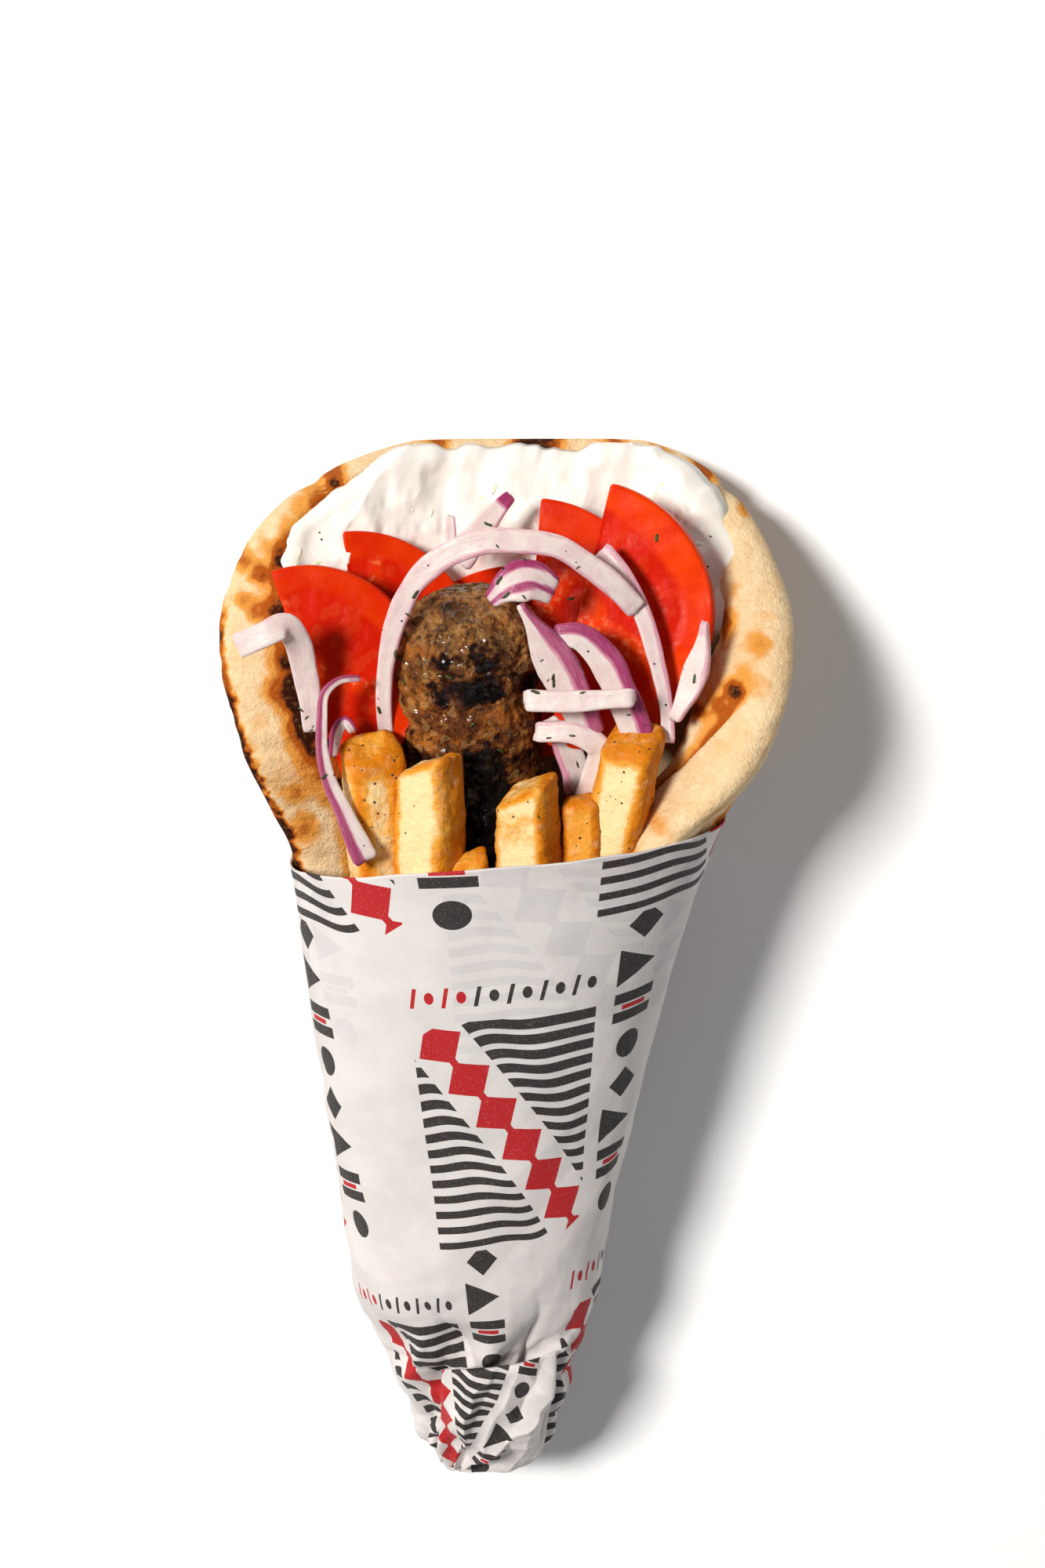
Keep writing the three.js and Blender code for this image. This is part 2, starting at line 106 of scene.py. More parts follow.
def along_outline(y, key):
    """One value of the outline's stations at y, on a smooth curve through them."""
    places, values = OUTLINE[:, 0], OUTLINE[:, key]
    slopes = np.empty(len(places))
    slopes[1:-1] = (values[2:] - values[:-2]) / (places[2:] - places[:-2])
    slopes[0] = (values[1] - values[0]) / (places[1] - places[0])
    slopes[-1] = (values[-1] - values[-2]) / (places[-1] - places[-2])
    i = np.clip(np.searchsorted(places, y) - 1, 0, len(places) - 2)
    span = places[i + 1] - places[i]
    t = np.clip((y - places[i]) / span, 0, 1)
    t2, t3 = t * t, t * t * t
    start = (2 * t3 - 3 * t2 + 1) * values[i] + (t3 - 2 * t2 + t) * span * slopes[i]
    return start + (3 * t2 - 2 * t3) * values[i + 1] + (t3 - t2) * span * slopes[i + 1]


def signed_power(value, power):
    return np.sign(value) * np.abs(value) ** power


def walk(line):
    """How far along a line each of its points is."""
    return np.concatenate([[0], np.cumsum(np.linalg.norm(np.diff(line, axis=0), axis=1))])


def section(y, turn, inset=0.0):
    """Points of the wrap's section: turn is 0 underneath and half a turn at the front; inset goes inwards."""
    y, turn, inset = np.broadcast_arrays(y, turn, inset)
    half = along_outline(y, 1)
    rise = (along_outline(y, 2) + BASE_SINK) / 2
    sx = signed_power(np.sin(turn), 2 / ROUNDNESS)
    cz = signed_power(np.cos(turn), 2 / ROUNDNESS)
    nx = signed_power(sx, ROUNDNESS - 1) / half
    nz = -signed_power(cz, ROUNDNESS - 1) / rise
    size = np.hypot(nx, nz)
    x = along_outline(y, 3) + half * sx - nx / size * inset
    z = rise * (1 - cz) - BASE_SINK - nz / size * inset
    return np.stack([x, y, np.maximum(z, inset)], axis=-1)


def turn_at_length(y, lengths):
    """The turns at which the section's outer line, followed from underneath, reaches these lengths."""
    turns = np.linspace(0, math.pi, 181)
    return np.sign(lengths) * np.interp(np.abs(lengths), walk(section(y, turns)), turns)


def paper_rim(turn):
    return RIM + RIM_SLANT * np.sin(turn) - RIM_FRONT * np.cos(turn)


def half_round(y):
    """Half the length of the section's outer line at each y."""
    line = section(np.asarray(y, float)[..., None], np.linspace(0, math.pi, 91))
    return np.linalg.norm(np.diff(line, axis=-2), axis=-1).sum(axis=-1)


def bread_reach(y):
    """How far the flatbread reaches to the left and to the right at y, measured along its curve."""
    off = np.clip(np.abs(y - DISC_CENTRE) / DISC_RADIUS, 0, 1)
    disc = DISC_RADIUS * (1 - off**DISC_SQUARENESS) ** (1 / DISC_SQUARENESS)
    wall = LEFT_SHARE * half_round(y)
    near = np.clip(0.5 + (wall - disc) / 16, 0, 1)
    left = wall + (disc - wall) * near - 8 * near * (1 - near)
    return left, disc + LIP_REACH * (1 - smooth(y, 70, 92))


# ---- numbers: smooth steps and seeded roughness ----


def smooth(value, low, high):
    """0 below low, 1 above high, and a smooth rise between them."""
    t = np.clip((np.asarray(value, float) - low) / (high - low), 0, 1)
    return t * t * (3 - 2 * t)


def bump(value, centre, width):
    """A soft hump of height 1."""
    return np.exp(-(((np.asarray(value, float) - centre) / width) ** 2))


def on_line(place, level=0.0):
    """Points for roughness that changes along a line only; each level has its own."""
    return np.stack([place, place * 0, place * 0 + level], axis=-1)


def unit(vectors):
    return vectors / np.linalg.norm(vectors, axis=-1, keepdims=True)


def lattice(points, seed):
    """Smooth values from -1 to 1, unrelated a unit apart."""
    cell = np.floor(points).astype(np.int64)
    part = points - cell
    ease = part**3 * (part * (part * 6 - 15) + 10)
    total = np.zeros(points.shape[:-1])
    for corner in range(8):
        step = np.array([corner & 1, corner >> 1 & 1, corner >> 2 & 1])
        key = (cell + step) @ np.array([73856093, 19349663, 83492791]) + seed * 2654435761
        key = ((key ^ (key >> 15)) * 2246822519) & 0xFFFFFFFF
        key = ((key ^ (key >> 13)) * 3266489917) & 0xFFFFFFFF
        value = (key ^ (key >> 16)) / 0x7FFFFFFF - 1
        total += value * np.prod(np.where(step, ease, 1 - ease), axis=-1)
    return total


def rough(points, size, seed, layers=3, fade=0.5):
    """Layered roughness from about -1 to 1, whose largest lumps are size apart."""
    total, weight, strength = 0.0, 0.0, 1.0
    for layer in range(layers):
        total = total + strength * lattice(points / size * 2.03**layer + 17.7 * layer, seed + layer)
        weight += strength
        strength *= fade
    return total / weight * 1.6


def ridges(points, size, seed, layers):
    """Sharp-crested roughness from 0 to 1, as in crumpled paper."""
    total, weight, strength = 0.0, 0.0, 1.0
    for layer in range(layers):
        total = total + strength * (
            1 - np.abs(lattice(points / size * 2.1**layer + 9.1 * layer, seed + layer))
        )
        weight += strength
        strength *= 0.5
    return total / weight


def folds(points, size, seed, count):
    """Flat facets between straight sharp creases in random directions, from 0 to 1, as in scrunched paper."""
    rng = np.random.default_rng(seed)
    bend = 0.3 * rough(points, size * 2, seed, layers=1)
    total = 0.0
    for _ in range(count):
        way = rng.normal(size=3)
        place = points @ (way / np.linalg.norm(way)) / size + rng.uniform() + bend
        total = total + 2 * np.abs(place - np.floor(place + 0.5))
    return total / count


# ---- meshes from rings and grids of points ----


def points_at(line, wanted):
    """The points of a line that are this far along it."""
    walked = walk(line)
    return np.stack([np.interp(wanted, walked, values) for values in line.T], axis=-1)


def evenly(line, count):
    """This many points an equal way apart along a closed line, whose last point repeats its first."""
    return points_at(line, np.linspace(0, walk(line)[-1], count + 1)[:-1])


def compact(points, faces):
    """Only the points that the faces use, and the faces renumbered for them."""
    used = np.unique(np.concatenate([np.ravel(face) for face in faces]))
    place = np.zeros(len(points), int)
    place[used] = np.arange(len(used))
    return used, [place[face] for face in faces]


def corners(grid):
    """The four corners of each face between neighbouring rows and columns of a grid."""
    return np.stack([grid[:-1, :-1], grid[:-1, 1:], grid[1:, 1:], grid[1:, :-1]], axis=2)


def grid_faces(index):
    """Four-sided faces between neighbouring rows and columns of an index grid."""
    return corners(index).reshape(-1, 4)


def tube_faces(rings, sides):
    """Faces of a closed skin over rings of points, with a point at each end's middle."""
    index = np.arange(rings * sides).reshape(rings, sides)
    quads = grid_faces(np.hstack([index, index[:, :1]]))
    first, last = rings * sides, rings * sides + 1
    around = np.roll(index, -1, axis=1)
    start = np.stack([around[0], index[0], np.full(sides, first)], axis=-1)
    end = np.stack([index[-1], around[-1], np.full(sides, last)], axis=-1)
    return quads, np.vstack([start, end])


def tube(rings):
    """Points and faces of a closed skin over rings of points."""
    count, sides = rings.shape[:2]
    middles = np.stack([rings[0].mean(axis=0), rings[-1].mean(axis=0)])
    quads, fans = tube_faces(count, sides)
    return np.vstack([rings.reshape(-1, 3), middles]), [quads, fans]


def spread(values):
    """One value for each point of a tube, from one for each point of its rings."""
    return np.concatenate([values.reshape(-1), [values[0].mean(), values[-1].mean()]])


def shell_faces(rows, columns):
    """Faces of a closed skin over two grids that share their border points."""
    upper = np.arange(rows * columns).reshape(rows, columns)
    lower = upper + rows * columns
    for edge in (np.s_[0, :], np.s_[-1, :], np.s_[:, 0], np.s_[:, -1]):
        lower[edge] = upper[edge]
    return [grid_faces(upper), grid_faces(lower)[:, ::-1]]


def shell(upper, lower):
    """Points and faces of a closed skin over two grids of points that share their border points."""
    return np.vstack([upper.reshape(-1, 3), lower.reshape(-1, 3)]), shell_faces(*upper.shape[:2])


def add_mesh(name, points, faces, node, masks=None, uv=None, *, material):
    """Makes a piece from points in millimetres, gives it its masks and finish, and sets it on the frame."""
    used, faces = compact(points, faces)
    mesh = bpy.data.meshes.new(name)
    mesh.from_pydata((points[used] * MM).tolist(), [], [f for part in faces for f in part.tolist()])
    for key, values in (masks or {}).items():
        layer = mesh.attributes.new(key, "FLOAT", "POINT")
        layer.data.foreach_set("value", np.asarray(values, np.float32)[used])
    if uv is not None:
        layer = mesh.uv_layers.new(name="print")
        layer.data.foreach_set("uv", np.asarray(uv, np.float32).ravel())
    mesh.update()
    piece = bpy.data.objects.new(name, mesh)
    bpy.context.scene.collection.objects.link(piece)
    outward(mesh)
    mesh.shade_smooth()
    mesh.materials.append(material)
    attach(piece, "root")
    if node:
        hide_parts(*([node] if isinstance(node, str) else node))
    return piece


def outward(mesh):
    """Turns every face outwards, if the closed mesh is inside out."""
    points = np.empty(len(mesh.vertices) * 3)
    mesh.vertices.foreach_get("co", points)
    points = points.reshape(-1, 3)
    mesh.calc_loop_triangles()
    used = np.empty(len(mesh.loop_triangles) * 3, np.int32)
    mesh.loop_triangles.foreach_get("vertices", used)
    a, b, c = (points[used.reshape(-1, 3)[:, i]] for i in range(3))
    if np.sum(a * np.cross(b, c)) < 0:
        mesh.flip_normals()


# ---- sizes and colours that a user would change ----


def tint(red, green, blue):
    """A linear colour from display values of 0 to 255."""
    return tuple(
        (v / 255 / 12.92) if v < 10.3 else ((v / 255 + 0.055) / 1.055) ** 2.4 for v in (red, green, blue)
    )


def length(name, description, default):
    return FloatProperty(name=name, description=description, default=default, unit="LENGTH")


def colour(name, description, red, green, blue):
    default = tint(red, green, blue)
    return FloatVectorProperty(
        name=name, description=description, default=default, subtype="COLOR", size=3, min=0, max=1
    )


class GYRO_PG_paper(bpy.types.PropertyGroup):
    """The paper cone."""

    thickness: length("Thickness", "Thickness of the rolled paper at its rim", 0.0004)
    crease: length("Creases", "Depth of the soft creases along the cone", 0.0008)
    crumple: length("Crumple", "Depth of the folds where the end is crumpled shut", 0.0045)
    sheet: colour("Sheet", "Colour of the bare paper", 218, 212, 209)
    ink: colour("Ink", "Colour of the dark print", 34, 30, 29)
    accent: colour("Accent", "Colour of the red print", 178, 6, 18)


class GYRO_PG_bread(bpy.types.PropertyGroup):
    """The flatbread."""

    puff: length("Puff", "Height of the soft bumps on the bread", 0.0007)
    toast: FloatProperty(
        name="Toast",
        description="How strongly the bread is browned",
        default=1.0,
        min=0,
        max=2,
    )
    crumb: colour("Crumb", "Pale baked bread", 228, 196, 150)
    golden: colour("Golden", "Lightly toasted bread", 220, 150, 66)
    brown: colour("Brown", "Well toasted bread", 166, 80, 14)
    burnt: colour("Burnt", "Charred bread", 50, 18, 5)


class GYRO_PG_filling(bpy.types.PropertyGroup):
    """The kebab, fries, vegetables and sauce."""

    grain: length("Meat grain", "Height of the minced meat's coarse grain", 0.0004)
    meat: colour("Meat", "Grilled minced meat", 108, 58, 24)
    meat_pale: colour("Pale meat", "Meat at the kebab's tip and its highlights", 158, 96, 34)
    char: colour("Char", "Charred patches on the meat", 8, 3, 2)
    potato: colour("Potato", "The fries' faces", 241, 212, 158)
    # The crust colour also paints the shade on each fry's side that faces +X.
    crust: colour("Crust", "The fries' crisp edges", 212, 124, 16)
    crust_dark: colour("Dark crust", "The fries' darkest tips", 138, 66, 10)
    tomato: colour("Tomato", "The outer wall of a tomato slice", 222, 58, 1)
    tomato_deep: colour("Deep tomato", "The soft middle of a tomato slice", 194, 24, 1)
    tomato_pale: colour("Pale tomato", "The pale streaks and seeds of a tomato", 246, 148, 96)
    onion: colour("Onion", "The onion's flesh", 221, 206, 200)
    onion_skin: colour("Onion skin", "The onion's purple skin", 150, 48, 96)
    sauce: colour("Sauce", "The yogurt sauce", 240, 236, 228)


class GYRO_PG_garnish(bpy.types.PropertyGroup):
    """What is strewn over the filling."""

    herbs: IntProperty(name="Herbs", description="How many chopped herb leaves", default=46, min=0)
    pepper: IntProperty(name="Pepper", description="How many pepper specks", default=90, min=0)
    shreds: IntProperty(name="Shreds", description="How many cucumber shreds in the sauce", default=13, min=0)
    leaf: length("Leaf", "Length of a usual herb leaf", 0.0021)
    green: colour("Green", "The herbs", 62, 84, 30)
    cucumber: colour("Cucumber", "The cucumber shreds", 216, 218, 178)


class GYRO_PG_stage(bpy.types.PropertyGroup):
    """The floor, the light and the camera."""

    key: FloatProperty(
        name="Key light", description="Power of the large key light", default=84.0, unit="POWER"
    )
    fill: FloatProperty(name="Fill light", description="Power of the fill light", default=6.0, unit="POWER")
    sky: FloatProperty(name="Sky", description="Strength of the even light all round", default=0.17, min=0)
    lens: FloatProperty(name="Lens", description="Focal length in millimetres", default=65.0, min=10)
    floor: colour("Floor", "Colour of the floor", 250, 250, 250)


SETTINGS = {
    "gyro_paper": GYRO_PG_paper,
    "gyro_bread": GYRO_PG_bread,
    "gyro_filling": GYRO_PG_filling,
    "gyro_garnish": GYRO_PG_garnish,
    "gyro_stage": GYRO_PG_stage,
}


# ---- shader nodes ----


class Nodes:
    """Adds nodes to one tree and joins them."""

    def __init__(self, tree):
        self.tree = tree

    def feed(self, socket, value):
        if isinstance(value, bpy.types.NodeSocket):
            self.tree.links.new(value, socket)
        elif socket.type == "RGBA" and len(value) == 3:
            socket.default_value = (*value, 1)
        else:
            socket.default_value = value

    def add(self, kind, inputs=None, **settings):
        node = self.tree.nodes.new(kind)
        for key, value in settings.items():
            setattr(node, key, value)
        for key, value in (inputs or {}).items():
            self.feed(node.inputs[key], value)
        return node

    def math(self, operation, *values, clamp=False):
        node = self.add("ShaderNodeMath", dict(enumerate(values)), operation=operation, use_clamp=clamp)
        return node.outputs[0]

    def times(self, first, second):
        return self.math("MULTIPLY", first, second)

    def step(self, value, low, high):
        """0 below low, 1 above high, smooth between."""
        inputs = {"Value": value, "From Min": low, "From Max": high}
        return self.add("ShaderNodeMapRange", inputs, interpolation_type="SMOOTHSTEP").outputs[0]

    def mix(self, factor, first, second):
        node = self.add("ShaderNodeMix", data_type="RGBA")
        self.feed(node.inputs["Factor"], factor)
        self.feed(node.inputs[6], first)
        self.feed(node.inputs[7], second)
        return node.outputs[2]

    def noise(self, place, scale, detail, roughness=0.5):
        inputs = {"Vector": place, "Scale": scale, "Detail": detail, "Roughness": roughness}
        return self.add("ShaderNodeTexNoise", inputs).outputs[0]

    def shake(self, mask, noise, amount):
        """A mask whose borders a noise makes ragged."""
        return self.math("MULTIPLY_ADD", self.math("SUBTRACT", noise, 0.5), amount, mask)

    def mask(self, name):
        return self.add("ShaderNodeAttribute", attribute_name=name).outputs["Fac"]

    def place(self):
        """The surface's place in millimetres."""
        where = self.add("ShaderNodeTexCoord").outputs["Object"]
        scale = {0: where, 1: (1 / MM,) * 3}
        return self.add("ShaderNodeVectorMath", scale, operation="MULTIPLY").outputs[0]

    def group(self, tree, inputs):
        node = self.add("ShaderNodeGroup", node_tree=tree)
        for key, value in inputs.items():
            self.feed(node.inputs[key], value)
        return node.outputs

    def mottle(self, place, size, low, high):
        """A blotchy mask whose patches are size apart."""
        inputs = {"Place": place, "Size": size, "Low": low, "High": high}
        return self.group(shared("mottle"), inputs)["Mask"]

    def specks(self, place, spacing, radius, share):
        """A mask of small round dots."""
        inputs = {"Place": place, "Spacing": spacing, "Radius": radius, "Share": share}
        return self.group(shared("specks"), inputs)["Mask"]

    def relief(self, place, coarse, fine, share):
        """A height of two sizes of noise, for a bump."""
        inputs = {"Place": place, "Coarse size": coarse, "Fine size": fine, "Fine share": share}
        return self.group(shared("relief"), inputs)["Height"]


def new_group(name, numbers, outputs):
    """A shader node group that takes a place and numbers, its builder, and its inner inputs and outputs."""
    tree = bpy.data.node_groups.new(name, "ShaderNodeTree")
    tree.interface.new_socket("Place", in_out="INPUT", socket_type="NodeSocketVector")
    for key, default in numbers.items():
        socket = tree.interface.new_socket(key, in_out="INPUT", socket_type="NodeSocketFloat")
        socket.default_value = default
    for key in outputs:
        tree.interface.new_socket(key, in_out="OUTPUT", socket_type="NodeSocketFloat")
    nodes = Nodes(tree)
    return tree, nodes, nodes.add("NodeGroupInput").outputs, nodes.add("NodeGroupOutput").inputs


def mottle_group():
    """Soft-edged patches: a mask from 0 to 1."""
    tree, nodes, given, made = new_group("mottle", {"Size": 5.0, "Low": 0.4, "High": 0.6}, ["Mask"])
    scale = nodes.math("DIVIDE", 1.0, given["Size"])
    noise = nodes.noise(given["Place"], scale, 5.0)
    nodes.feed(made["Mask"], nodes.step(noise, given["Low"], given["High"]))
    return tree


def speck_group():
    """Small round specks, each at a random place: a mask from 0 to 1."""
    numbers = {"Spacing": 3.0, "Radius": 0.15, "Share": 0.5}
    tree, nodes, given, made = new_group("specks", numbers, ["Mask"])
    scale = nodes.math("DIVIDE", 1.0, given["Spacing"])
    cell = nodes.add("ShaderNodeTexVoronoi", {"Vector": given["Place"], "Scale": scale})
    chance = nodes.add("ShaderNodeSeparateColor", {"Color": cell.outputs["Color"]}).outputs[0]
    near = nodes.math("SUBTRACT", 1.0, nodes.step(cell.outputs["Distance"], 0.0, given["Radius"]))
    nodes.feed(made["Mask"], nodes.times(near, nodes.math("LESS_THAN", chance, given["Share"])))
    return tree


def relief_group():
    """A coarse and a fine roughness added up: a height for a bump."""
    numbers = {"Coarse size": 4.0, "Fine size": 0.8, "Fine share": 0.4}
    tree, nodes, given, made = new_group("relief", numbers, ["Height"])
    coarse, fine = (
        nodes.noise(given["Place"], nodes.math("DIVIDE", 1.0, given[key]), 3.0)
        for key in ("Coarse size", "Fine size")
    )
    nodes.feed(made["Height"], nodes.math("ADD", coarse, nodes.times(fine, given["Fine share"])))
    return tree


def shared(name):
    """A shared node group, built the first time that it is asked for."""
    makers = {"mottle": mottle_group, "specks": speck_group, "relief": relief_group, "print": print_group}
    return bpy.data.node_groups.get(name) or makers[name]()


def new_material(name):
    """A new material and the builder of its nodes."""
    material = bpy.data.materials.new(name)
    material.use_nodes = True
    return material, Nodes(material.node_tree)


def finish(nodes, base, roughness, height, strength, depth, soft=0, coat=None, **constants):
    """Feeds the material's shader: colour, roughness, a bump, softness, a wet coat, and other constants."""
    shader = nodes.tree.nodes["Principled BSDF"]
    nodes.feed(shader.inputs["Base Color"], base)
    nodes.feed(shader.inputs["Roughness"], roughness)
    normal = nodes.add("ShaderNodeBump", {"Strength": strength, "Distance": depth, "Height": height})
    nodes.feed(shader.inputs["Normal"], normal.outputs[0])
    if soft:
        constants = {"Subsurface_Weight": soft, "Subsurface_Scale": 0.002, **constants}
    if coat is not None:
        nodes.feed(shader.inputs["Coat Weight"], coat)
    for key, value in constants.items():
        shader.inputs[key.replace("_", " ")].default_value = value


# ---- the paper's print: panels of wavy stripes, columns of bold shapes and rows of small ones ----

PRINT_TURNS = 3  # repeats round the cone
TILE_WIDE = 71.0
TILE_HIGH = 71.5
PANEL_WIDE = 37.0
PANEL_HIGH = 53.0
STRIPE = 3.55
CHANNEL = 6.4
DIAMOND = 9.6
COLUMN_FROM, COLUMN_TO = 41.0, 51.0
COLUMN_STEP = 9.2
ROW_FROM, ROW_TO = 56.3, 60.6
ROW_STEP = 3.1


def between(nodes, value, low, high):
    """1 where value is between low and high."""
    above = nodes.math("GREATER_THAN", value, low)
    return nodes.times(above, nodes.math("LESS_THAN", value, high))


def centred(nodes, value, size):
    """The place within a repeat, from -0.5 to 0.5."""
    return nodes.math("SUBTRACT", nodes.math("FRACT", nodes.math("DIVIDE", value, size)), 0.5)


def panel_print(nodes, across, up):
    """A panel's stripes, and the chain of diamonds that crosses them on a slant."""
    inside = nodes.times(between(nodes, across, 0, PANEL_WIDE), between(nodes, up, 0, PANEL_HIGH))
    long = math.hypot(PANEL_WIDE - 4, PANEL_HIGH - 2)
    run = ((PANEL_WIDE - 4) / long, -(PANEL_HIGH - 2) / long)
    from_left = nodes.math("SUBTRACT", across, 3.0)
    from_top = nodes.math("SUBTRACT", up, PANEL_HIGH - 1)
    along = nodes.math("MULTIPLY_ADD", from_left, run[0], nodes.times(from_top, run[1]))
    aside = nodes.math("MULTIPLY_ADD", from_left, -run[1], nodes.times(from_top, run[0]))
    swing = nodes.math("SINE", nodes.math("MULTIPLY_ADD", across, 0.33, nodes.times(up, 0.11)))
    near = nodes.math("EXPONENT", nodes.times(nodes.math("POWER", aside, 2.0), -0.006))
    lifted = nodes.math("MULTIPLY_ADD", nodes.times(swing, near), 1.5, up)
    stripe = nodes.math("ABSOLUTE", centred(nodes, lifted, STRIPE))
    duty = nodes.math("MULTIPLY_ADD", up, 0.0022, 0.22)
    stripes = nodes.math("LESS_THAN", stripe, duty)
    off_channel = nodes.math("GREATER_THAN", nodes.math("ABSOLUTE", aside), CHANNEL)
    dark = nodes.times(nodes.times(stripes, off_channel), inside)
    wide = nodes.math("ABSOLUTE", aside)
    gap = nodes.math("ABSOLUTE", centred(nodes, along, DIAMOND))
    diamond = nodes.math("LESS_THAN", nodes.math("MULTIPLY_ADD", gap, DIAMOND * 1.1, wide), 5.4)
    bar = nodes.math("LESS_THAN", wide, 0.8)
    chain = nodes.times(nodes.math("MAXIMUM", diamond, bar), between(nodes, along, 1.0, long - 1.0))
    return dark, nodes.times(chain, inside)


def column_print(nodes, across, up):
    """A column of bold shapes: discs, bars, wedges and diamonds in turn, some with a red bar."""
    inside = between(nodes, across, COLUMN_FROM, COLUMN_TO)
    middle = (COLUMN_FROM + COLUMN_TO) / 2
    x = nodes.math("DIVIDE", nodes.math("SUBTRACT", across, middle), COLUMN_TO - COLUMN_FROM)
    y = centred(nodes, up, COLUMN_STEP)
    count = nodes.math("FLOOR", nodes.math("DIVIDE", up, COLUMN_STEP))
    kind = nodes.math("MODULO", count, 4.0)
    radius = nodes.math("SQRT", nodes.math("MULTIPLY_ADD", x, x, nodes.times(y, y)))
    slopes = nodes.math("ADD", nodes.math("ABSOLUTE", x), nodes.math("ABSOLUTE", y))
    shapes = [
        nodes.math("LESS_THAN", radius, 0.34),
        nodes.times(between(nodes, nodes.math("ABSOLUTE", y), 0.1, 0.36), between(nodes, x, -0.5, 0.5)),
        nodes.math("LESS_THAN", nodes.math("MULTIPLY_ADD", x, 0.5, nodes.math("ABSOLUTE", y)), 0.2),
        nodes.math("LESS_THAN", slopes, 0.4),
    ]
    dark = 0.0
    for number, shape in enumerate(shapes):
        chosen = between(nodes, kind, number - 0.5, number + 0.5)
        dark = nodes.math("MULTIPLY_ADD", shape, chosen, dark)
    small = nodes.times(between(nodes, y, -0.06, 0.06), between(nodes, x, -0.3, 0.3))
    red = nodes.times(small, between(nodes, kind, 0.5, 1.5))
    dark = nodes.times(nodes.times(dark, inside), between(nodes, y, -0.44, 0.44))
    return dark, nodes.times(red, inside)


def row_print(nodes, across, up):
    """A row of small leaning bars and dots over each panel, the first third of them red."""
    inside = nodes.times(between(nodes, across, 0.5, PANEL_WIDE), between(nodes, up, ROW_FROM, ROW_TO))
    x = centred(nodes, across, ROW_STEP)
    high = ROW_TO - ROW_FROM
    y = nodes.math("DIVIDE", nodes.math("SUBTRACT", up, (ROW_FROM + ROW_TO) / 2), high)
    odd = nodes.math("MODULO", nodes.math("FLOOR", nodes.math("DIVIDE", across, ROW_STEP)), 2.0)
    slope = nodes.math("MULTIPLY_ADD", odd, 0.6, -0.3)
    lean = nodes.math("ABSOLUTE", nodes.math("MULTIPLY_ADD", y, slope, x))
    bar = nodes.times(nodes.math("LESS_THAN", lean, 0.13), nodes.math("SUBTRACT", 1.0, odd))
    radius = nodes.math("SQRT", nodes.math("MULTIPLY_ADD", x, x, nodes.times(y, y)))
    dot = nodes.times(nodes.math("LESS_THAN", radius, 0.3), odd)
    shape = nodes.times(nodes.math("MAXIMUM", bar, dot), inside)
    first = nodes.math("LESS_THAN", across, ROW_STEP * 4)
    red = nodes.times(shape, first)
    return nodes.math("SUBTRACT", shape, red), red


def print_group():
    """The repeating print: masks of its dark and its red ink, from a place counted in repeats."""
    tree, nodes, given, made = new_group("print", {"Slip": 0.0}, ["Dark", "Red"])
    axes = nodes.add("ShaderNodeSeparateXYZ", {0: given["Place"]}).outputs
    level = nodes.math("ADD", axes[1], given["Slip"])
    shift = nodes.times(nodes.math("MODULO", nodes.math("ADD", nodes.math("FLOOR", level), 8.0), 2.0), 0.5)
    round_place = nodes.math("ADD", nodes.math("ADD", axes[0], given["Slip"]), shift)
    across = nodes.times(nodes.math("FRACT", round_place), TILE_WIDE)
    up = nodes.times(nodes.math("FRACT", level), TILE_HIGH)
    inks = [panel_print(nodes, across, up), column_print(nodes, across, up), row_print(nodes, across, up)]
    for key, (panel, column, row) in zip(("Dark", "Red"), zip(*inks)):
        nodes.feed(made[key], nodes.math("MAXIMUM", panel, nodes.math("MAXIMUM", column, row)))
    return tree


# ---- the paper cone ----

PAPER_SIDES = 300
PRINT_AROUND = TILE_WIDE * PRINT_TURNS
PRINT_LEFT = -15.6  # where a panel starts, round the front from its middle
PRINT_TOP = 9.5
PRINT_SLANT = 0.115
KNOT = np.array([-2.0, -90.0, 34.0])
TUCK_MIDDLE = -90.5
TUCK_HALF = 17.5
TUCK_DEPTH = 3.2  # how far the tuck's underside lies inside the smooth cone


def front_share(around):
    """How far round from the front's middle, as a share of the whole way, at an angle counted from there."""
    turns = math.pi - np.abs(around)
    table = np.linspace(0, math.pi, 181)
    walked = walk(section(0.0, table))
    return np.sign(around) * (1 - np.interp(turns, table, walked) / walked[-1]) / 2


def print_place(around, y):
    """The print's place at an angle from the front's middle and a place along the cone, in repeats."""
    p = PRINT_AROUND * front_share(around)
    u = (p + PRINT_SLANT * (y - PRINT_TOP) - PRINT_LEFT) / TILE_WIDE
    v = (y - PRINT_TOP + PANEL_HIGH - 0.09 * p) / TILE_HIGH
    return np.stack([u, v], axis=-1)


SIDE_STIFFNESS = 0.5  # how much shallower the creases are along both sides of the crumpled end


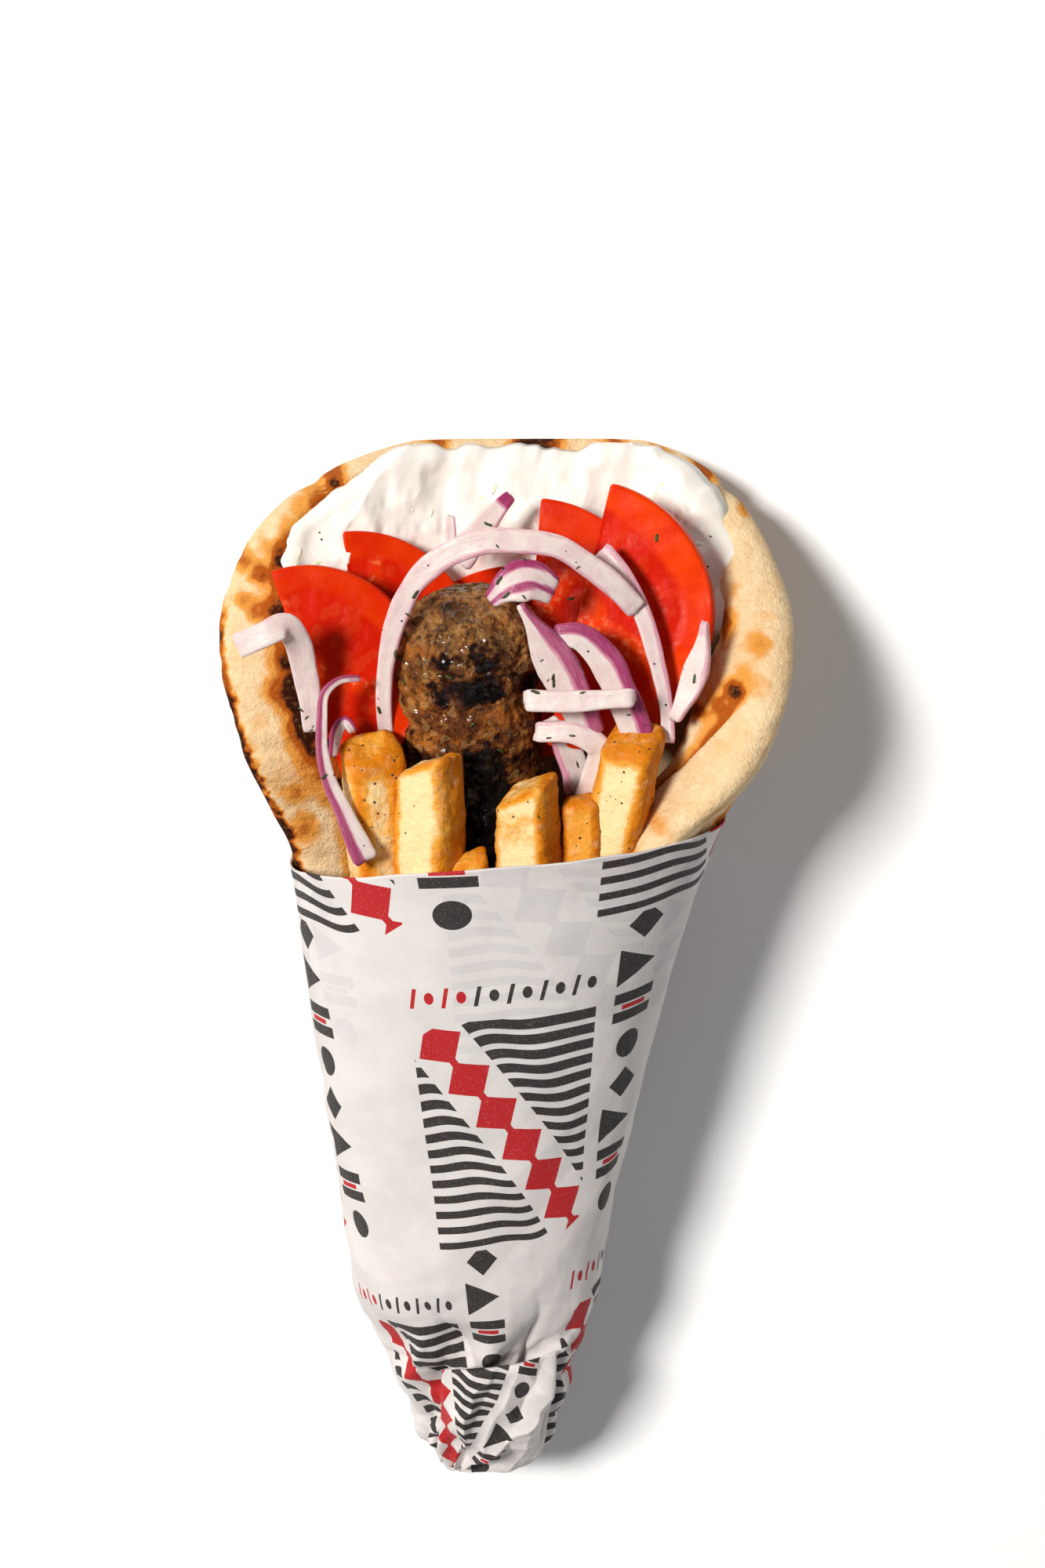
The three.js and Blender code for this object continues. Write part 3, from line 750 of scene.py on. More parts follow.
def paper_dents(y, turn, crease, crumple):
    """How far the creased paper lies inside the smooth cone, in millimetres."""
    base = section(y, turn)
    soft = rough(base * (1, 0.55, 1), 24, 11, layers=3)
    crisp = ridges(base * (1, 0.7, 1), 15, 31, layers=4)
    low = smooth(-y, 44, 80)
    dents = crease * (0.3 + 0.3 * soft)
    dents = dents + crease * 0.5 * (1 - crisp)
    dents = dents + crease * 2.3 * smooth(-y, -20, 30) * folds(base, 17, 37, 3)
    dents = dents + crumple * 1.2 * smooth(-y, 60, 74) * folds(base, 19, 39, 3)
    dents = dents + crumple * low * (1 - crisp) ** 1.2 * 0.4
    dents = dents + crumple * smooth(-y, 60, 78) * 0.9 * folds(base, 8, 35, 3)
    away = base - KNOT
    angle = np.arctan2(away[..., 0], away[..., 1])
    far = np.linalg.norm(away, axis=-1)
    pleat = np.abs(np.sin(4.5 * angle + 0.07 * far + 0.9 * soft)) ** 0.7
    rays = smooth(far, 2, 9) * (1 - smooth(far, 24, 40))
    dents = dents + crumple * 0.75 * rays * (1 - pleat)
    bottom = smooth(-y, 80, 108)
    gather = np.abs(np.sin(5.5 * turn + 0.08 * y + soft)) ** 0.8
    dents = dents + crumple * 0.6 * bottom * (1 - gather)
    return dents * (1 - SIDE_STIFFNESS * np.sin(turn) ** 6 * low)


def seam_step(around):
    """The sheet's outer edge stands a little proud where it laps over itself underneath."""
    return 0.45 * (around + math.pi) / TURN


def paper_rings(settings):
    """Rings from the floor inside the cone, up the inner wall, over the rim and down to the gathered end."""
    thick, crease, crumple = (v / MM for v in (settings.thickness, settings.crease, settings.crumple))
    end = PAPER_LOW[1] + 0.3
    around = np.append(np.linspace(-math.pi, math.pi, PAPER_SIDES + 1)[:-1], math.pi - 0.004)
    turn = math.pi - around
    rim = paper_rim(turn) + 0.35 * rough(on_line(around * 6), 2.0, 5)
    levels = [(rim + (PAPER_FLOOR - rim) * share, True) for share in np.linspace(1, 0, 90) ** 1.2]
    levels += [(rim + (end - rim) * share, False) for share in np.linspace(0, 1, 240) ** 1.05]
    rings, places = [], []
    for y, inner in levels:
        inset = paper_dents(y, turn, crease, crumple) + seam_step(around)
        if inner:
            inset = inset + (thick + 1.4 * smooth(-y, 10, 60))
        rings.append(section(y, turn, inset))
        places.append(y)
    last = rings[-1]
    middle = last.mean(axis=0)
    for share in np.linspace(0.94, 0.06, 14):
        pleat = np.abs(np.sin(3.5 * turn + 2.0 * share))
        ring = middle + (last - middle) * share
        ring[:, 1] = end + (1 - share) ** 0.8 * (2.5 + 4.5 * pleat)
        rings.append(ring)
        places.append(np.full(len(turn), end - 14 * (1 - share)))
    rings = np.array(rings)
    rings[..., 2] = np.maximum(rings[..., 2], 0.06)
    return rings, np.array([np.broadcast_to(y, turn.shape) for y in places]), around


def tube_print(around, places):
    """The print's place at each corner of a tube's faces, in the faces' own order."""
    y = np.hstack([places, places[:, :1]])
    uv = np.stack([print_place(np.append(around, math.pi), row) for row in y])
    quads = corners(uv)
    fans = []
    for ring, order in ((0, (1, 0)), (-1, (0, 1))):
        sides = (uv[ring, :-1], uv[ring, 1:])
        middle = np.broadcast_to(uv[ring].mean(axis=0), sides[0].shape)
        fans.append(np.stack([sides[order[0]], sides[order[1]], middle], axis=1))
    return np.concatenate([quads.reshape(-1, 2), np.concatenate(fans).reshape(-1, 2)])


def paper_material(settings):
    material, nodes = new_material("greaseproof paper")
    place = nodes.place()
    uv = nodes.add("ShaderNodeUVMap", uv_map="print").outputs[0]
    inks = nodes.group(shared("print"), {"Place": uv, "Slip": 0.0})
    ghost = nodes.group(shared("print"), {"Place": uv, "Slip": 0.37})
    worn = nodes.mottle(place, 0.35, 0.3, 0.42)
    cloud = nodes.mottle(place, 9.0, 0.35, 0.7)
    bare = nodes.mix(nodes.times(cloud, 0.5), settings.sheet, tint(203, 196, 194))
    high = nodes.step(nodes.add("ShaderNodeSeparateXYZ", {0: place}).outputs[1], -8.0, 8.0)
    under = nodes.times(nodes.math("MAXIMUM", ghost["Dark"], ghost["Red"]), nodes.times(high, 0.13))
    through = nodes.mix(under, bare, tint(120, 130, 150))
    accent = nodes.times(inks["Red"], nodes.math("MULTIPLY_ADD", worn, 0.15, 0.82))
    red = nodes.mix(accent, through, settings.accent)
    ink = nodes.times(inks["Dark"], nodes.math("MULTIPLY_ADD", worn, 0.16, 0.8))
    base = nodes.mix(ink, red, settings.ink)
    fibres = nodes.relief(place, 6.0, 0.5, 0.2)
    finish(nodes, base, 0.6, fibres, strength=0.3, depth=0.0006, soft=0.08, Specular_IOR_Level=0.12)
    return material


class GYRO_OT_paper(bpy.types.Operator):
    """Makes the printed paper cone with its crumpled end"""

    bl_idname = "gyro.paper"
    bl_label = "Paper cone"

    def execute(self, context):
        settings = context.scene.gyro_paper
        material = paper_material(settings)
        rings, places, around = paper_rings(settings)
        points, faces = tube(rings)
        add_mesh(
            "paper_cone", points, faces, "paper", uv=tube_print(around, places), material=material
        )
        add_tuck(material)
        return {"FINISHED"}


def add_tuck(material):
    """The folded-over end of the sheet, tucked up against the front of the cone."""
    p, q = np.meshgrid(np.linspace(-1, 1, 150), np.linspace(-1, 1, 150))
    y = TUCK_MIDDLE + TUCK_HALF * q + 1.5 * p
    around = 0.12 + p * (0.62 - 0.12 * q) + 0.1 * q
    turn = math.pi - around
    base = section(y, turn)
    dome = (1 - np.abs(p) ** 2.6) ** 0.5 * (1 - np.abs(q) ** 2.6) ** 0.5
    fan = np.arctan2(q + 0.9, p + 0.55)
    gathers = 2.1 * np.abs(np.sin(4.2 * fan + 0.8 * rough(base, 12, 71))) + 4.6 * folds(base, 9, 77, 3)
    lift = dome * (6.0 - gathers)
    upper = section(y, turn, TUCK_DEPTH - lift * 1.25)
    lower = section(y, turn, TUCK_DEPTH)
    for side in (upper, lower):
        side[..., 2] = np.clip(side[..., 2], 0.1, None)
        side[..., 1] = np.clip(side[..., 1], PAPER_LOW[1] + 0.1, None)
    points, faces = shell(upper, lower)
    uv = np.stack([0.62 + 0.33 * p - 0.1 * q, 0.35 + 0.33 * q + 0.12 * p], axis=-1)
    quads = corners(uv).reshape(-1, 4, 2)
    both = np.concatenate([quads, quads[:, ::-1]]).reshape(-1, 2)
    add_mesh("paper_tuck", points, faces, None, uv=both, material=material)


# ---- the flatbread ----

BREAD_THICK = 10.0
BREAD_TIP_THICK = 6.5
ROUND_LEFT = 2.4  # how far in from its left edge the bread rounds off, which leaves a broad flat rim
ROUND_RIGHT = 5.4  # the same on the right and at the far edge
LIP_SWELL = 3.0  # how much thicker the bread is along its puffed-up edges
RIM_SWELL = 3.6  # how much more the left edge bulges inwards just above the paper
LAYER_SWELL = 4.6  # how far its inner layer bulges along the right edge
# Browned spots that show round the mouth: across, along, radius and strength.
TOASTED_SPOTS = (
    (43.0, 71.5, 2.0, 0.85), (45.0, 73.5, 2.8, 0.3), (39.5, 68.5, 1.6, 0.5), (36.0, 66.5, 1.6, 0.9),
    (41.0, 82.0, 2.4, 0.75), (43.0, 83.5, 2.0, 0.35), (47.5, 78.0, 2.4, 0.3), (43.5, 87.0, 2.4, 0.3),
    (28.0, 48.0, 3.0, 0.3), (22.5, 42.5, 2.4, 0.45), (-50.5, 92.0, 2.2, 0.7), (-47.5, 90.0, 2.0, 0.75),
    (-50.0, 85.5, 1.8, 0.5), (-47.5, 84.0, 2.0, 0.6), (-44.5, 83.5, 2.6, 0.85), (-44.0, 70.0, 2.4, 0.55),
    (-39.5, 61.5, 2.4, 0.4), (-40.5, 49.5, 2.2, 0.4), (-39.0, 41.5, 3.2, 0.55), (-33.0, 105.0, 2.4, 1.3),
    (-36.0, 102.5, 2.6, 0.8), (-39.0, 101.0, 2.6, 0.45), (-42.0, 98.5, 2.2, 0.3), (-46.0, 95.0, 2.0, 0.3),
    (6.0, 111.5, 4.5, 1.4), (-14.0, 110.5, 3.0, 0.6), (21.0, 111.5, 3.4, 0.7), (30.0, 110.0, 2.6, 0.5),
    (38.5, 107.0, 2.6, 0.7), (46.5, 102.0, 2.0, 0.8),
)


def bread_rows():
    """Places along the axis: sparse inside the paper, close together round the mouth and at the far edge."""
    low, high = PITA_LOW[1], PITA_HIGH[1] - 0.3
    angles = np.linspace(math.pi / 2, 0, 12)
    tip = high - ROUND_RIGHT * (1 - np.cos(angles))
    start = low + ROUND_RIGHT * (1 - np.cos(angles[::-1]))
    return np.concatenate(
        [start, np.linspace(start[-1] + 3, 22, 26), np.linspace(22.5, tip[0] - 0.5, 150), tip]
    )


def bread_columns(left, right):
    """Places across, as lengths along the curve, close together at both rounded edges."""
    bend = 1 - np.cos(np.linspace(0, math.pi / 2, 13))
    low = -left + ROUND_LEFT * bend
    high = right - ROUND_RIGHT * bend
    return np.concatenate([low, np.linspace(low[-1], high[-1], 172)[1:-1], high[::-1]])


def rounding(distance, size=ROUND_RIGHT):
    """How much of a thickness is left at a distance from an edge that is rounded off over this size."""
    return np.sqrt(1 - (1 - np.clip(distance / size, 0, 1)) ** 2)


def bread_grid():
    """Everything about the flatbread's grid: place, turn, reach and distances from its edges."""
    y = bread_rows()
    wander = on_line(y)
    left, right = bread_reach(y)
    left = left + 0.9 * rough(wander, 13, 41) + 0.35 * rough(wander, 2.2, 45) - 2.0 * bump(y, 104.3, 1.1)
    right = right + 0.9 * rough(wander, 15, 43) - 2.2 * bump(y, 103.4, 1.2)
    lengths = np.array([bread_columns(a, b) for a, b in zip(left, right)])
    turn = np.array([turn_at_length(place, row) for place, row in zip(y, lengths)])
    place = np.broadcast_to(y[:, None], turn.shape)
    ends = np.minimum(place - y[0], y[-1] - place)
    edges = np.minimum(lengths + left[:, None], right[:, None] - lengths)
    rims = rounding(edges, np.where(lengths < 0, ROUND_LEFT, ROUND_RIGHT))
    return {"y": place, "turn": turn, "length": lengths, "ends": ends, "edge": edges, "rim": rims}


def fold_place(y):
    """How far from its right edge the bread's two layers meet."""
    return 1.2 + 5.6 * (1 - smooth(y, 52, 71))


def bread_sides(grid, puff):
    """The inner and the outer face of the flatbread."""
    y, turn, edge, rim = grid["y"], grid["turn"], grid["edge"], grid["rim"]
    past = smooth(y, paper_rim(turn) + 1, paper_rim(turn) + 14)
    deep = smooth(paper_rim(turn) - y, 2, 26)
    base_inset = 1.4 * (1 - past) + 1.9 * deep + 0.35
    thick = BREAD_THICK + (BREAD_TIP_THICK - BREAD_THICK) * smooth(y, 70, PITA_HIGH[1])
    centre = section(y, turn, base_inset + thick / 2)
    plump = 1 + 0.1 * rough(centre, 17, 51) + 0.08 * bump(edge, 6, 4)
    half = thick / 2 * rim * rounding(grid["ends"]) * plump
    open_part = smooth(y, 36, 44)
    grain = puff * (rough(centre, 9, 53) + 0.35 * rough(centre, 2.6, 57))
    right = smooth(grid["length"], 5, 25)
    window = right * smooth(y, 40, 50) * (1 - smooth(y, 68, 84))
    lip = window * (LAYER_SWELL * bump(edge, 11.5, 5.2) - 1.9 * bump(edge, fold_place(y), 1.0))
    roll = LIP_SWELL * (1 - smooth(edge, 8, 20)) * smooth(y, 24, 40) * (1 - smooth(y, 84, 100)) * rim
    left = 1 - smooth(grid["length"], -20, 0)
    roll = roll + RIM_SWELL * left * (1 - smooth(edge, 5, 16)) * bump(y, 50, 17) * rim
    inner = half + roll + open_part * (grain * rim + lip)
    outer = half + np.minimum(open_part * grain, 0) * rim
    inside = section(y, turn, base_inset + thick / 2 + inner)
    outside = section(y, turn, np.maximum(base_inset + thick / 2 - outer, 0.15))
    for side in (inside, outside):
        side[..., 2] = np.maximum(side[..., 2], 0.12)
    return inside, outside, window


def bread_toast(points, grid, window, inner):
    """How browned the bread is, from 0 to 1, on one of its faces, and how much darker it is along the groove
    where its two layers meet.
    """
    y, edge, rim = grid["y"], grid["edge"], grid["rim"]
    left = 1 - smooth(grid["length"], -20, 0)
    fine = rough(points, 1.6, 61)
    patch = rough(points, 8, 63)
    broad = rough(points, 19, 67)
    ragged = 0.4 * rough(points, 3.2, 69)
    if inner:
        line = 0.34 * smooth(rim + 0.12 * patch, 0.25, 0.55) + 0.66 * smooth(rim + 0.08 * patch, 0.55, 0.82)
        line = line * (1 - smooth(edge, 2.0, 7)) * left
        line = line * smooth(y, 24, 34) * (1 - smooth(y, 92, 100)) * (1.25 - 0.25 * smooth(y, 64, 78))
        # Darker along the groove where the bread's two layers meet.
        crease = 0.75 * bump(edge, fold_place(y), 0.8) + 0.3 * bump(edge, fold_place(y) + 1.2, 1.6)
        crease = crease * window * (1 - 0.8 * smooth(y, 66, 74))
        face = 0.2 * smooth(patch, 0.1, 0.8)
    else:
        line = 1.05 * smooth(rim + 0.16 * fine, 0.56, 0.94)
        line = line * (1 - smooth(edge + 0.8 * patch, 2.6, 5.4)) * left
        line = line * smooth(y, 24, 34) * (1 - smooth(y, 78, 88))
        crease = 0.12 * bump(edge, 3.0, 1.2)
        face = 0.75 * smooth(broad + 0.5 * patch, 0.15, 0.85) * smooth(edge, 4, 9)
    mouth = (points[..., 2] > 9) | (y > 104)
    spots = 0.0
    for across, along, radius, strength in TOASTED_SPOTS:
        far = np.hypot(points[..., 0] - across, points[..., 1] - along)
        spots = np.maximum(spots, strength * np.exp(-1.1 * np.maximum(far / radius + ragged, 0) ** 2))
    crest = 0.2 * smooth(patch, 0.2, 0.8) * (1 - smooth(edge, 2, 5))
    lines = (line + crease) * (0.85 + 0.45 * patch + 0.2 * fine)
    return np.clip(np.maximum(lines, np.maximum(face, crest)) + spots * mouth, 0, 1.2)


def bread_material(settings):
    material, nodes = new_material("griddled flatbread")
    place = nodes.place()
    toast = nodes.times(nodes.shake(nodes.mask("toast"), nodes.noise(place, 0.9, 6.0), 0.12), settings.toast)
    pale = nodes.mottle(place, 5.0, 0.42, 0.66)
    base = nodes.mix(nodes.times(pale, 0.4), settings.crumb, tint(242, 218, 180))
    base = nodes.mix(nodes.step(toast, 0.08, 0.34), base, settings.golden)
    base = nodes.mix(nodes.step(toast, 0.36, 0.64), base, settings.brown)
    base = nodes.mix(nodes.step(toast, 0.74, 1.05), base, settings.burnt)
    crumbs = nodes.mottle(place, 0.9, 0.5, 0.68)
    base = nodes.mix(nodes.times(crumbs, 0.2), base, tint(186, 132, 72))
    specks = nodes.specks(place, 1.9, 0.12, 0.3)
    base = nodes.mix(nodes.times(specks, 0.35), base, settings.brown)
    relief = nodes.relief(place, 1.5, 0.45, 0.6)
    finish(nodes, base, 0.8, relief, strength=0.6, depth=0.0008, soft=0.08, Specular_IOR_Level=0.1)
    return material


class GYRO_OT_bread(bpy.types.Operator):
    """Makes the rolled flatbread with its puffy, toasted edges"""

    bl_idname = "gyro.bread"
    bl_label = "Flatbread"

    def execute(self, context):
        settings = context.scene.gyro_bread
        grid = bread_grid()
        inside, outside, window = bread_sides(grid, settings.puff / MM)
        toast = np.concatenate([
            bread_toast(inside, grid, window, True).ravel(),
            bread_toast(outside, grid, window, False).ravel(),
        ])
        points, faces = shell(inside, outside)
        add_mesh(
            "flatbread", points, faces, "pita", {"toast": toast}, material=bread_material(settings)
        )
        return {"FINISHED"}


# ---- the yogurt sauce ----

SAUCE_FROM, SAUCE_TO = 60.0, 111.0
SAUCE_THICK = 8.5
SAUCE_BACK = 28  # how far the sauce stays from the bread's edges inside the cone
SAUCE_SPREAD = 25.5  # how much closer it comes to them at the mouth
SAUCE_ROUND = 4.5  # how far in from its border the sauce rounds off


def sauce_material(settings):
    material, nodes = new_material("yogurt sauce")
    place = nodes.place()
    thin = nodes.mottle(place, 7.0, 0.4, 0.75)
    base = nodes.mix(nodes.times(thin, 0.35), settings.sauce, tint(232, 225, 210))
    flecks = nodes.specks(place, 4.2, 0.09, 0.4)
    base = nodes.mix(nodes.times(flecks, 0.6), base, tint(120, 132, 112))
    relief = nodes.relief(place, 2.6, 0.9, 0.3)
    finish(nodes, base, 0.3, relief, strength=0.12, depth=0.001, soft=0.2, Specular_IOR_Level=0.35)
    return material


class GYRO_OT_sauce(bpy.types.Operator):
    """Makes the thick yogurt sauce that lines the mouth"""

    bl_idname = "gyro.sauce"
    bl_label = "Yogurt sauce"

    def execute(self, context):
        y = np.linspace(SAUCE_FROM, SAUCE_TO, 170)
        wander = on_line(y, 4)
        left, right = bread_reach(y)
        left = left - SAUCE_BACK + SAUCE_SPREAD * smooth(y, 82, 92) + 2.2 * rough(wander, 7, 81)
        right = right - SAUCE_BACK + SAUCE_SPREAD * smooth(y, 68, 87) + 2.2 * rough(wander, 7, 83)
        shares = np.linspace(0, 1, 300)
        lengths = -left[:, None] + (left + right)[:, None] * shares
        border = on_line(lengths, 9)
        place = y[:, None] + 1.9 * rough(border, 9, 84) * smooth(y, 92, SAUCE_TO)[:, None]
        place = np.minimum(place, PITA_HIGH[1] - 0.6)
        turn = np.array([turn_at_length(level, row) for level, row in zip(y, lengths)])
        thick = BREAD_THICK + (BREAD_TIP_THICK - BREAD_THICK) * smooth(place, 70, PITA_HIGH[1])
        under = 0.35 + thick - 1.2
        edge = np.minimum(lengths + left[:, None], right[:, None] - lengths)
        edge = np.minimum(edge, np.minimum(SAUCE_TO - y, y - SAUCE_FROM)[:, None] * 0.9)
        body = rounding(edge, SAUCE_ROUND) * (0.6 + 0.4 * smooth(edge, 3, 14))
        base = section(place, turn, under)
        lumps = 1.1 + 0.3 * rough(base, 15, 86, layers=1) + 0.2 * rough(base, 7, 85, layers=1)
        lumps = np.clip(lumps, 0.6, 1.28) + 0.035 * rough(base, 3.2, 88, layers=2)
        top = section(place, turn, under + SAUCE_THICK * body * lumps)
        points, faces = shell(top, base)
        material = sauce_material(context.scene.gyro_filling)
        add_mesh(
            "yogurt_sauce_mass", points, faces, "yogurt_sauce", material=material
        )
        return {"FINISHED"}


# ---- the kebab ----

KEBAB_FROM = np.array([-3.5, 2.0, 28.0])
KEBAB_TO = np.array([-6.6, 89.0, 37.0])
KEBAB_RADIUS = 14.5
KEBAB_DOME = 13.0
KEBAB_BOW = 1.6
# Charred patches: across, along, half width, half length and strength.
CHARRED = (
    (-5.0, 71.5, 7.0, 3.6, 1.2),
    (2.5, 72.5, 5.0, 2.4, 0.9),
    (-11.5, 76.5, 5.0, 4.4, 0.7),
    (-3.0, 78.0, 5.0, 4.4, 0.55),
    (5.0, 60.0, 3.0, 4.0, 0.45),
    (-3.8, 53.0, 4.6, 10.0, 1.3),
    (-13.5, 57.0, 5.0, 2.0, 0.7),
    (6.0, 64.5, 3.4, 2.2, 0.5),
    (-4.0, 39.0, 5.2, 7.0, 1.2),
    (-19.0, 66.0, 2.4, 6.0, 0.45),
)


def line_frame(start, end):
    """The unit directions along, across and over a straight line, and its length."""
    along = end - start
    length = np.linalg.norm(along)
    along = along / length
    across = np.cross(along, (0, 0, 1))
    across /= np.linalg.norm(across)
    return along, across, np.cross(across, along), length


def kebab_rings(grain):
    """Rings of the kebab's rough surface, from its hidden end to its rounded tip."""
    along, across, over, length = line_frame(KEBAB_FROM, KEBAB_TO)
    angles = np.linspace(0, TURN, 221)[:-1]
    tip = KEBAB_DOME * (1 - np.sin(np.linspace(0, math.pi / 2, 46)))[::-1]
    places = np.concatenate(
        [[0, 0.4, 1.2], np.linspace(2, length - KEBAB_DOME - 0.4, 170), length - KEBAB_DOME + tip[1:-1]]
    )
    to_tip = np.clip((length - places) / KEBAB_DOME, 0, 1)
    taper = (1 - (1 - to_tip) ** 2.1) ** (1 / 2.1)
    taper[0], taper[1] = 0.8, 0.95
    direction = np.cos(angles)[:, None] * across + np.sin(angles)[:, None] * over
    bow = KEBAB_BOW * np.sin(math.pi * np.clip(places / length, 0, 1) ** 2.2)
    centres = KEBAB_FROM + places[:, None] * along - bow[:, None] * across
    radius = KEBAB_RADIUS * taper * (1 + 0.03 * np.sin(0.16 * places + 1))
    rings = centres[:, None] + radius[:, None, None] * direction
    lumps = 0.75 * rough(rings, 9, 91) + 0.55 * rough(rings, 3.6, 93)
    lumps = lumps + grain * rough(rings, 1.5, 95, layers=3, fade=0.7)
    cracks = 0.7 * smooth(ridges(rings * (1, 1.4, 1), 7, 97, layers=3), 0.86, 0.97)
    push = (lumps - cracks - 0.35) * np.clip(taper * 1.6, 0.3, 1)[:, None]
    nudge = along * np.where(to_tip < 1, 0.6, 0.0)[:, None]
    return rings + push[..., None] * (direction + nudge[:, None])


def kebab_char(points):
    """How charred the kebab is, from 0 to 1."""
    total = 0.0
    for across, along, wide, long, strength in CHARRED:
        far = ((points[..., 0] - across) / wide) ** 2 + ((points[..., 1] - along) / long) ** 2
        total = np.maximum(total, strength * np.exp(-far))
    broken = rough(points, 4.2, 101, layers=4, fade=0.75)
    sides = 0.46 * smooth(rough(points, 11, 103), 0.15, 0.8)
    return np.clip(np.maximum(total, sides) + 0.62 * broken * np.minimum(total * 3 + 0.2, 1), 0, 1)


def meat_material(settings):
    material, nodes = new_material("grilled minced meat")
    place = nodes.place()
    grain = nodes.noise(place, 0.75, 7.0, 0.7)
    bits = nodes.add("ShaderNodeTexVoronoi", {"Vector": place, "Scale": 0.8}).outputs["Color"]
    bit = nodes.add("ShaderNodeSeparateColor", {"Color": bits}).outputs[0]
    base = nodes.mix(nodes.step(grain, 0.36, 0.6), tint(40, 15, 5), settings.meat)
    base = nodes.mix(nodes.times(nodes.step(grain, 0.58, 0.74), 0.8), base, settings.meat_pale)
    tip = nodes.mask("tip")
    grey = nodes.mix(nodes.step(grain, 0.36, 0.68), tint(62, 38, 20), tint(166, 118, 66))
    base = nodes.mix(nodes.times(tip, 0.8), base, grey)
    golden = nodes.mottle(place, 5.0, 0.42, 0.68)
    warm = nodes.times(golden, nodes.math("SUBTRACT", 0.85, nodes.times(tip, 0.5)))
    base = nodes.mix(nodes.times(warm, nodes.step(grain, 0.3, 0.5)), base, tint(178, 106, 38))
    base = nodes.mix(nodes.times(nodes.step(bit, 0.8, 0.9), 0.35), base, tint(178, 140, 84))
    char = nodes.shake(nodes.mask("char"), grain, 0.8)
    base = nodes.mix(nodes.step(char, 0.26, 0.62), base, tint(48, 16, 6))
    base = nodes.mix(nodes.step(char, 0.5, 0.8), base, settings.char)
    wet = nodes.mottle(place, 1.5, 0.48, 0.6)
    roughness = nodes.math("MULTIPLY_ADD", wet, -0.4, 0.8)
    relief = nodes.relief(place, 1.0, 0.4, 0.5)
    finish(
        nodes, base, roughness, relief, strength=0.9, depth=0.0008, coat=nodes.times(wet, 0.55),
        Specular_IOR_Level=0.12, Coat_Roughness=0.16,
    )
    return material


class GYRO_OT_kebab(bpy.types.Operator):
    """Makes the grilled minced-meat kebab"""

    bl_idname = "gyro.kebab"
    bl_label = "Kebab"

    def execute(self, context):
        settings = context.scene.gyro_filling
        rings = kebab_rings(settings.grain / MM)
        points, faces = tube(rings)
        tip = smooth(points[:, 1] + 0.25 * points[:, 0] + 3 * rough(points, 8, 105), 70, 80)
        masks = {"char": kebab_char(points), "tip": tip}
        add_mesh("grilled_kebab", points, faces, "kebab", masks, material=meat_material(settings))
        return {"FINISHED"}


# ---- the fries ----

FRY_EDGE = 2.4
FRY_TAPER = 0.45  # how much slimmer a fry is at its tip
FRY_SQUARENESS = 4.4
# Each fry: its node, cut tip, hidden end, two sides, roll in degrees, the tip's slant across and over, how
# golden it is all over, how brown its tip is and how far down its tip's colour reaches.
FRIES = (
    ("fry_left", (-25.3, 63.5, 49.5), (-22, 22, 47), 12.5, 11, -22, (0.1, -0.4), 0.16, 0.4, 6),
    ("fry_front", (-14.3, 62, 53), (-14.3, 16, 50), 12, 11, 30, (0.5, 0.1), -0.06, 0.25, 4),
    ("fry_stub", (-7.5, 43.5, 55.5), (-4.5, 14, 51), 9, 6.5, 0, (0.5, 0.0), 0.15, 0.3, 4),
    ("fry_middle", (3.8, 57.5, 53.5), (4.6, 16, 50), 11.5, 11, 25, (0.5, -0.15), -0.08, 0.4, 3.5),
    ("fry_short", (14.2, 52.5, 49), (14.8, 18, 47), 8.6, 10, 8, (0.1, 0.1), 0.4, 0.2, 4),
    ("fry_right", (24.3, 65.5, 49.5), (17, 24, 46), 11.5, 11, 20, (0.1, -0.45), 0.0, 0.56, 6),
)


def superellipse(wide, deep, power, count):
    """Evenly spaced points round a superellipse with these half sizes."""
    fine = np.linspace(0, TURN, 4001)
    across = wide * signed_power(np.cos(fine), 2 / power)
    up = deep * signed_power(np.sin(fine), 2 / power)
    return evenly(np.stack([across, up], -1), count)


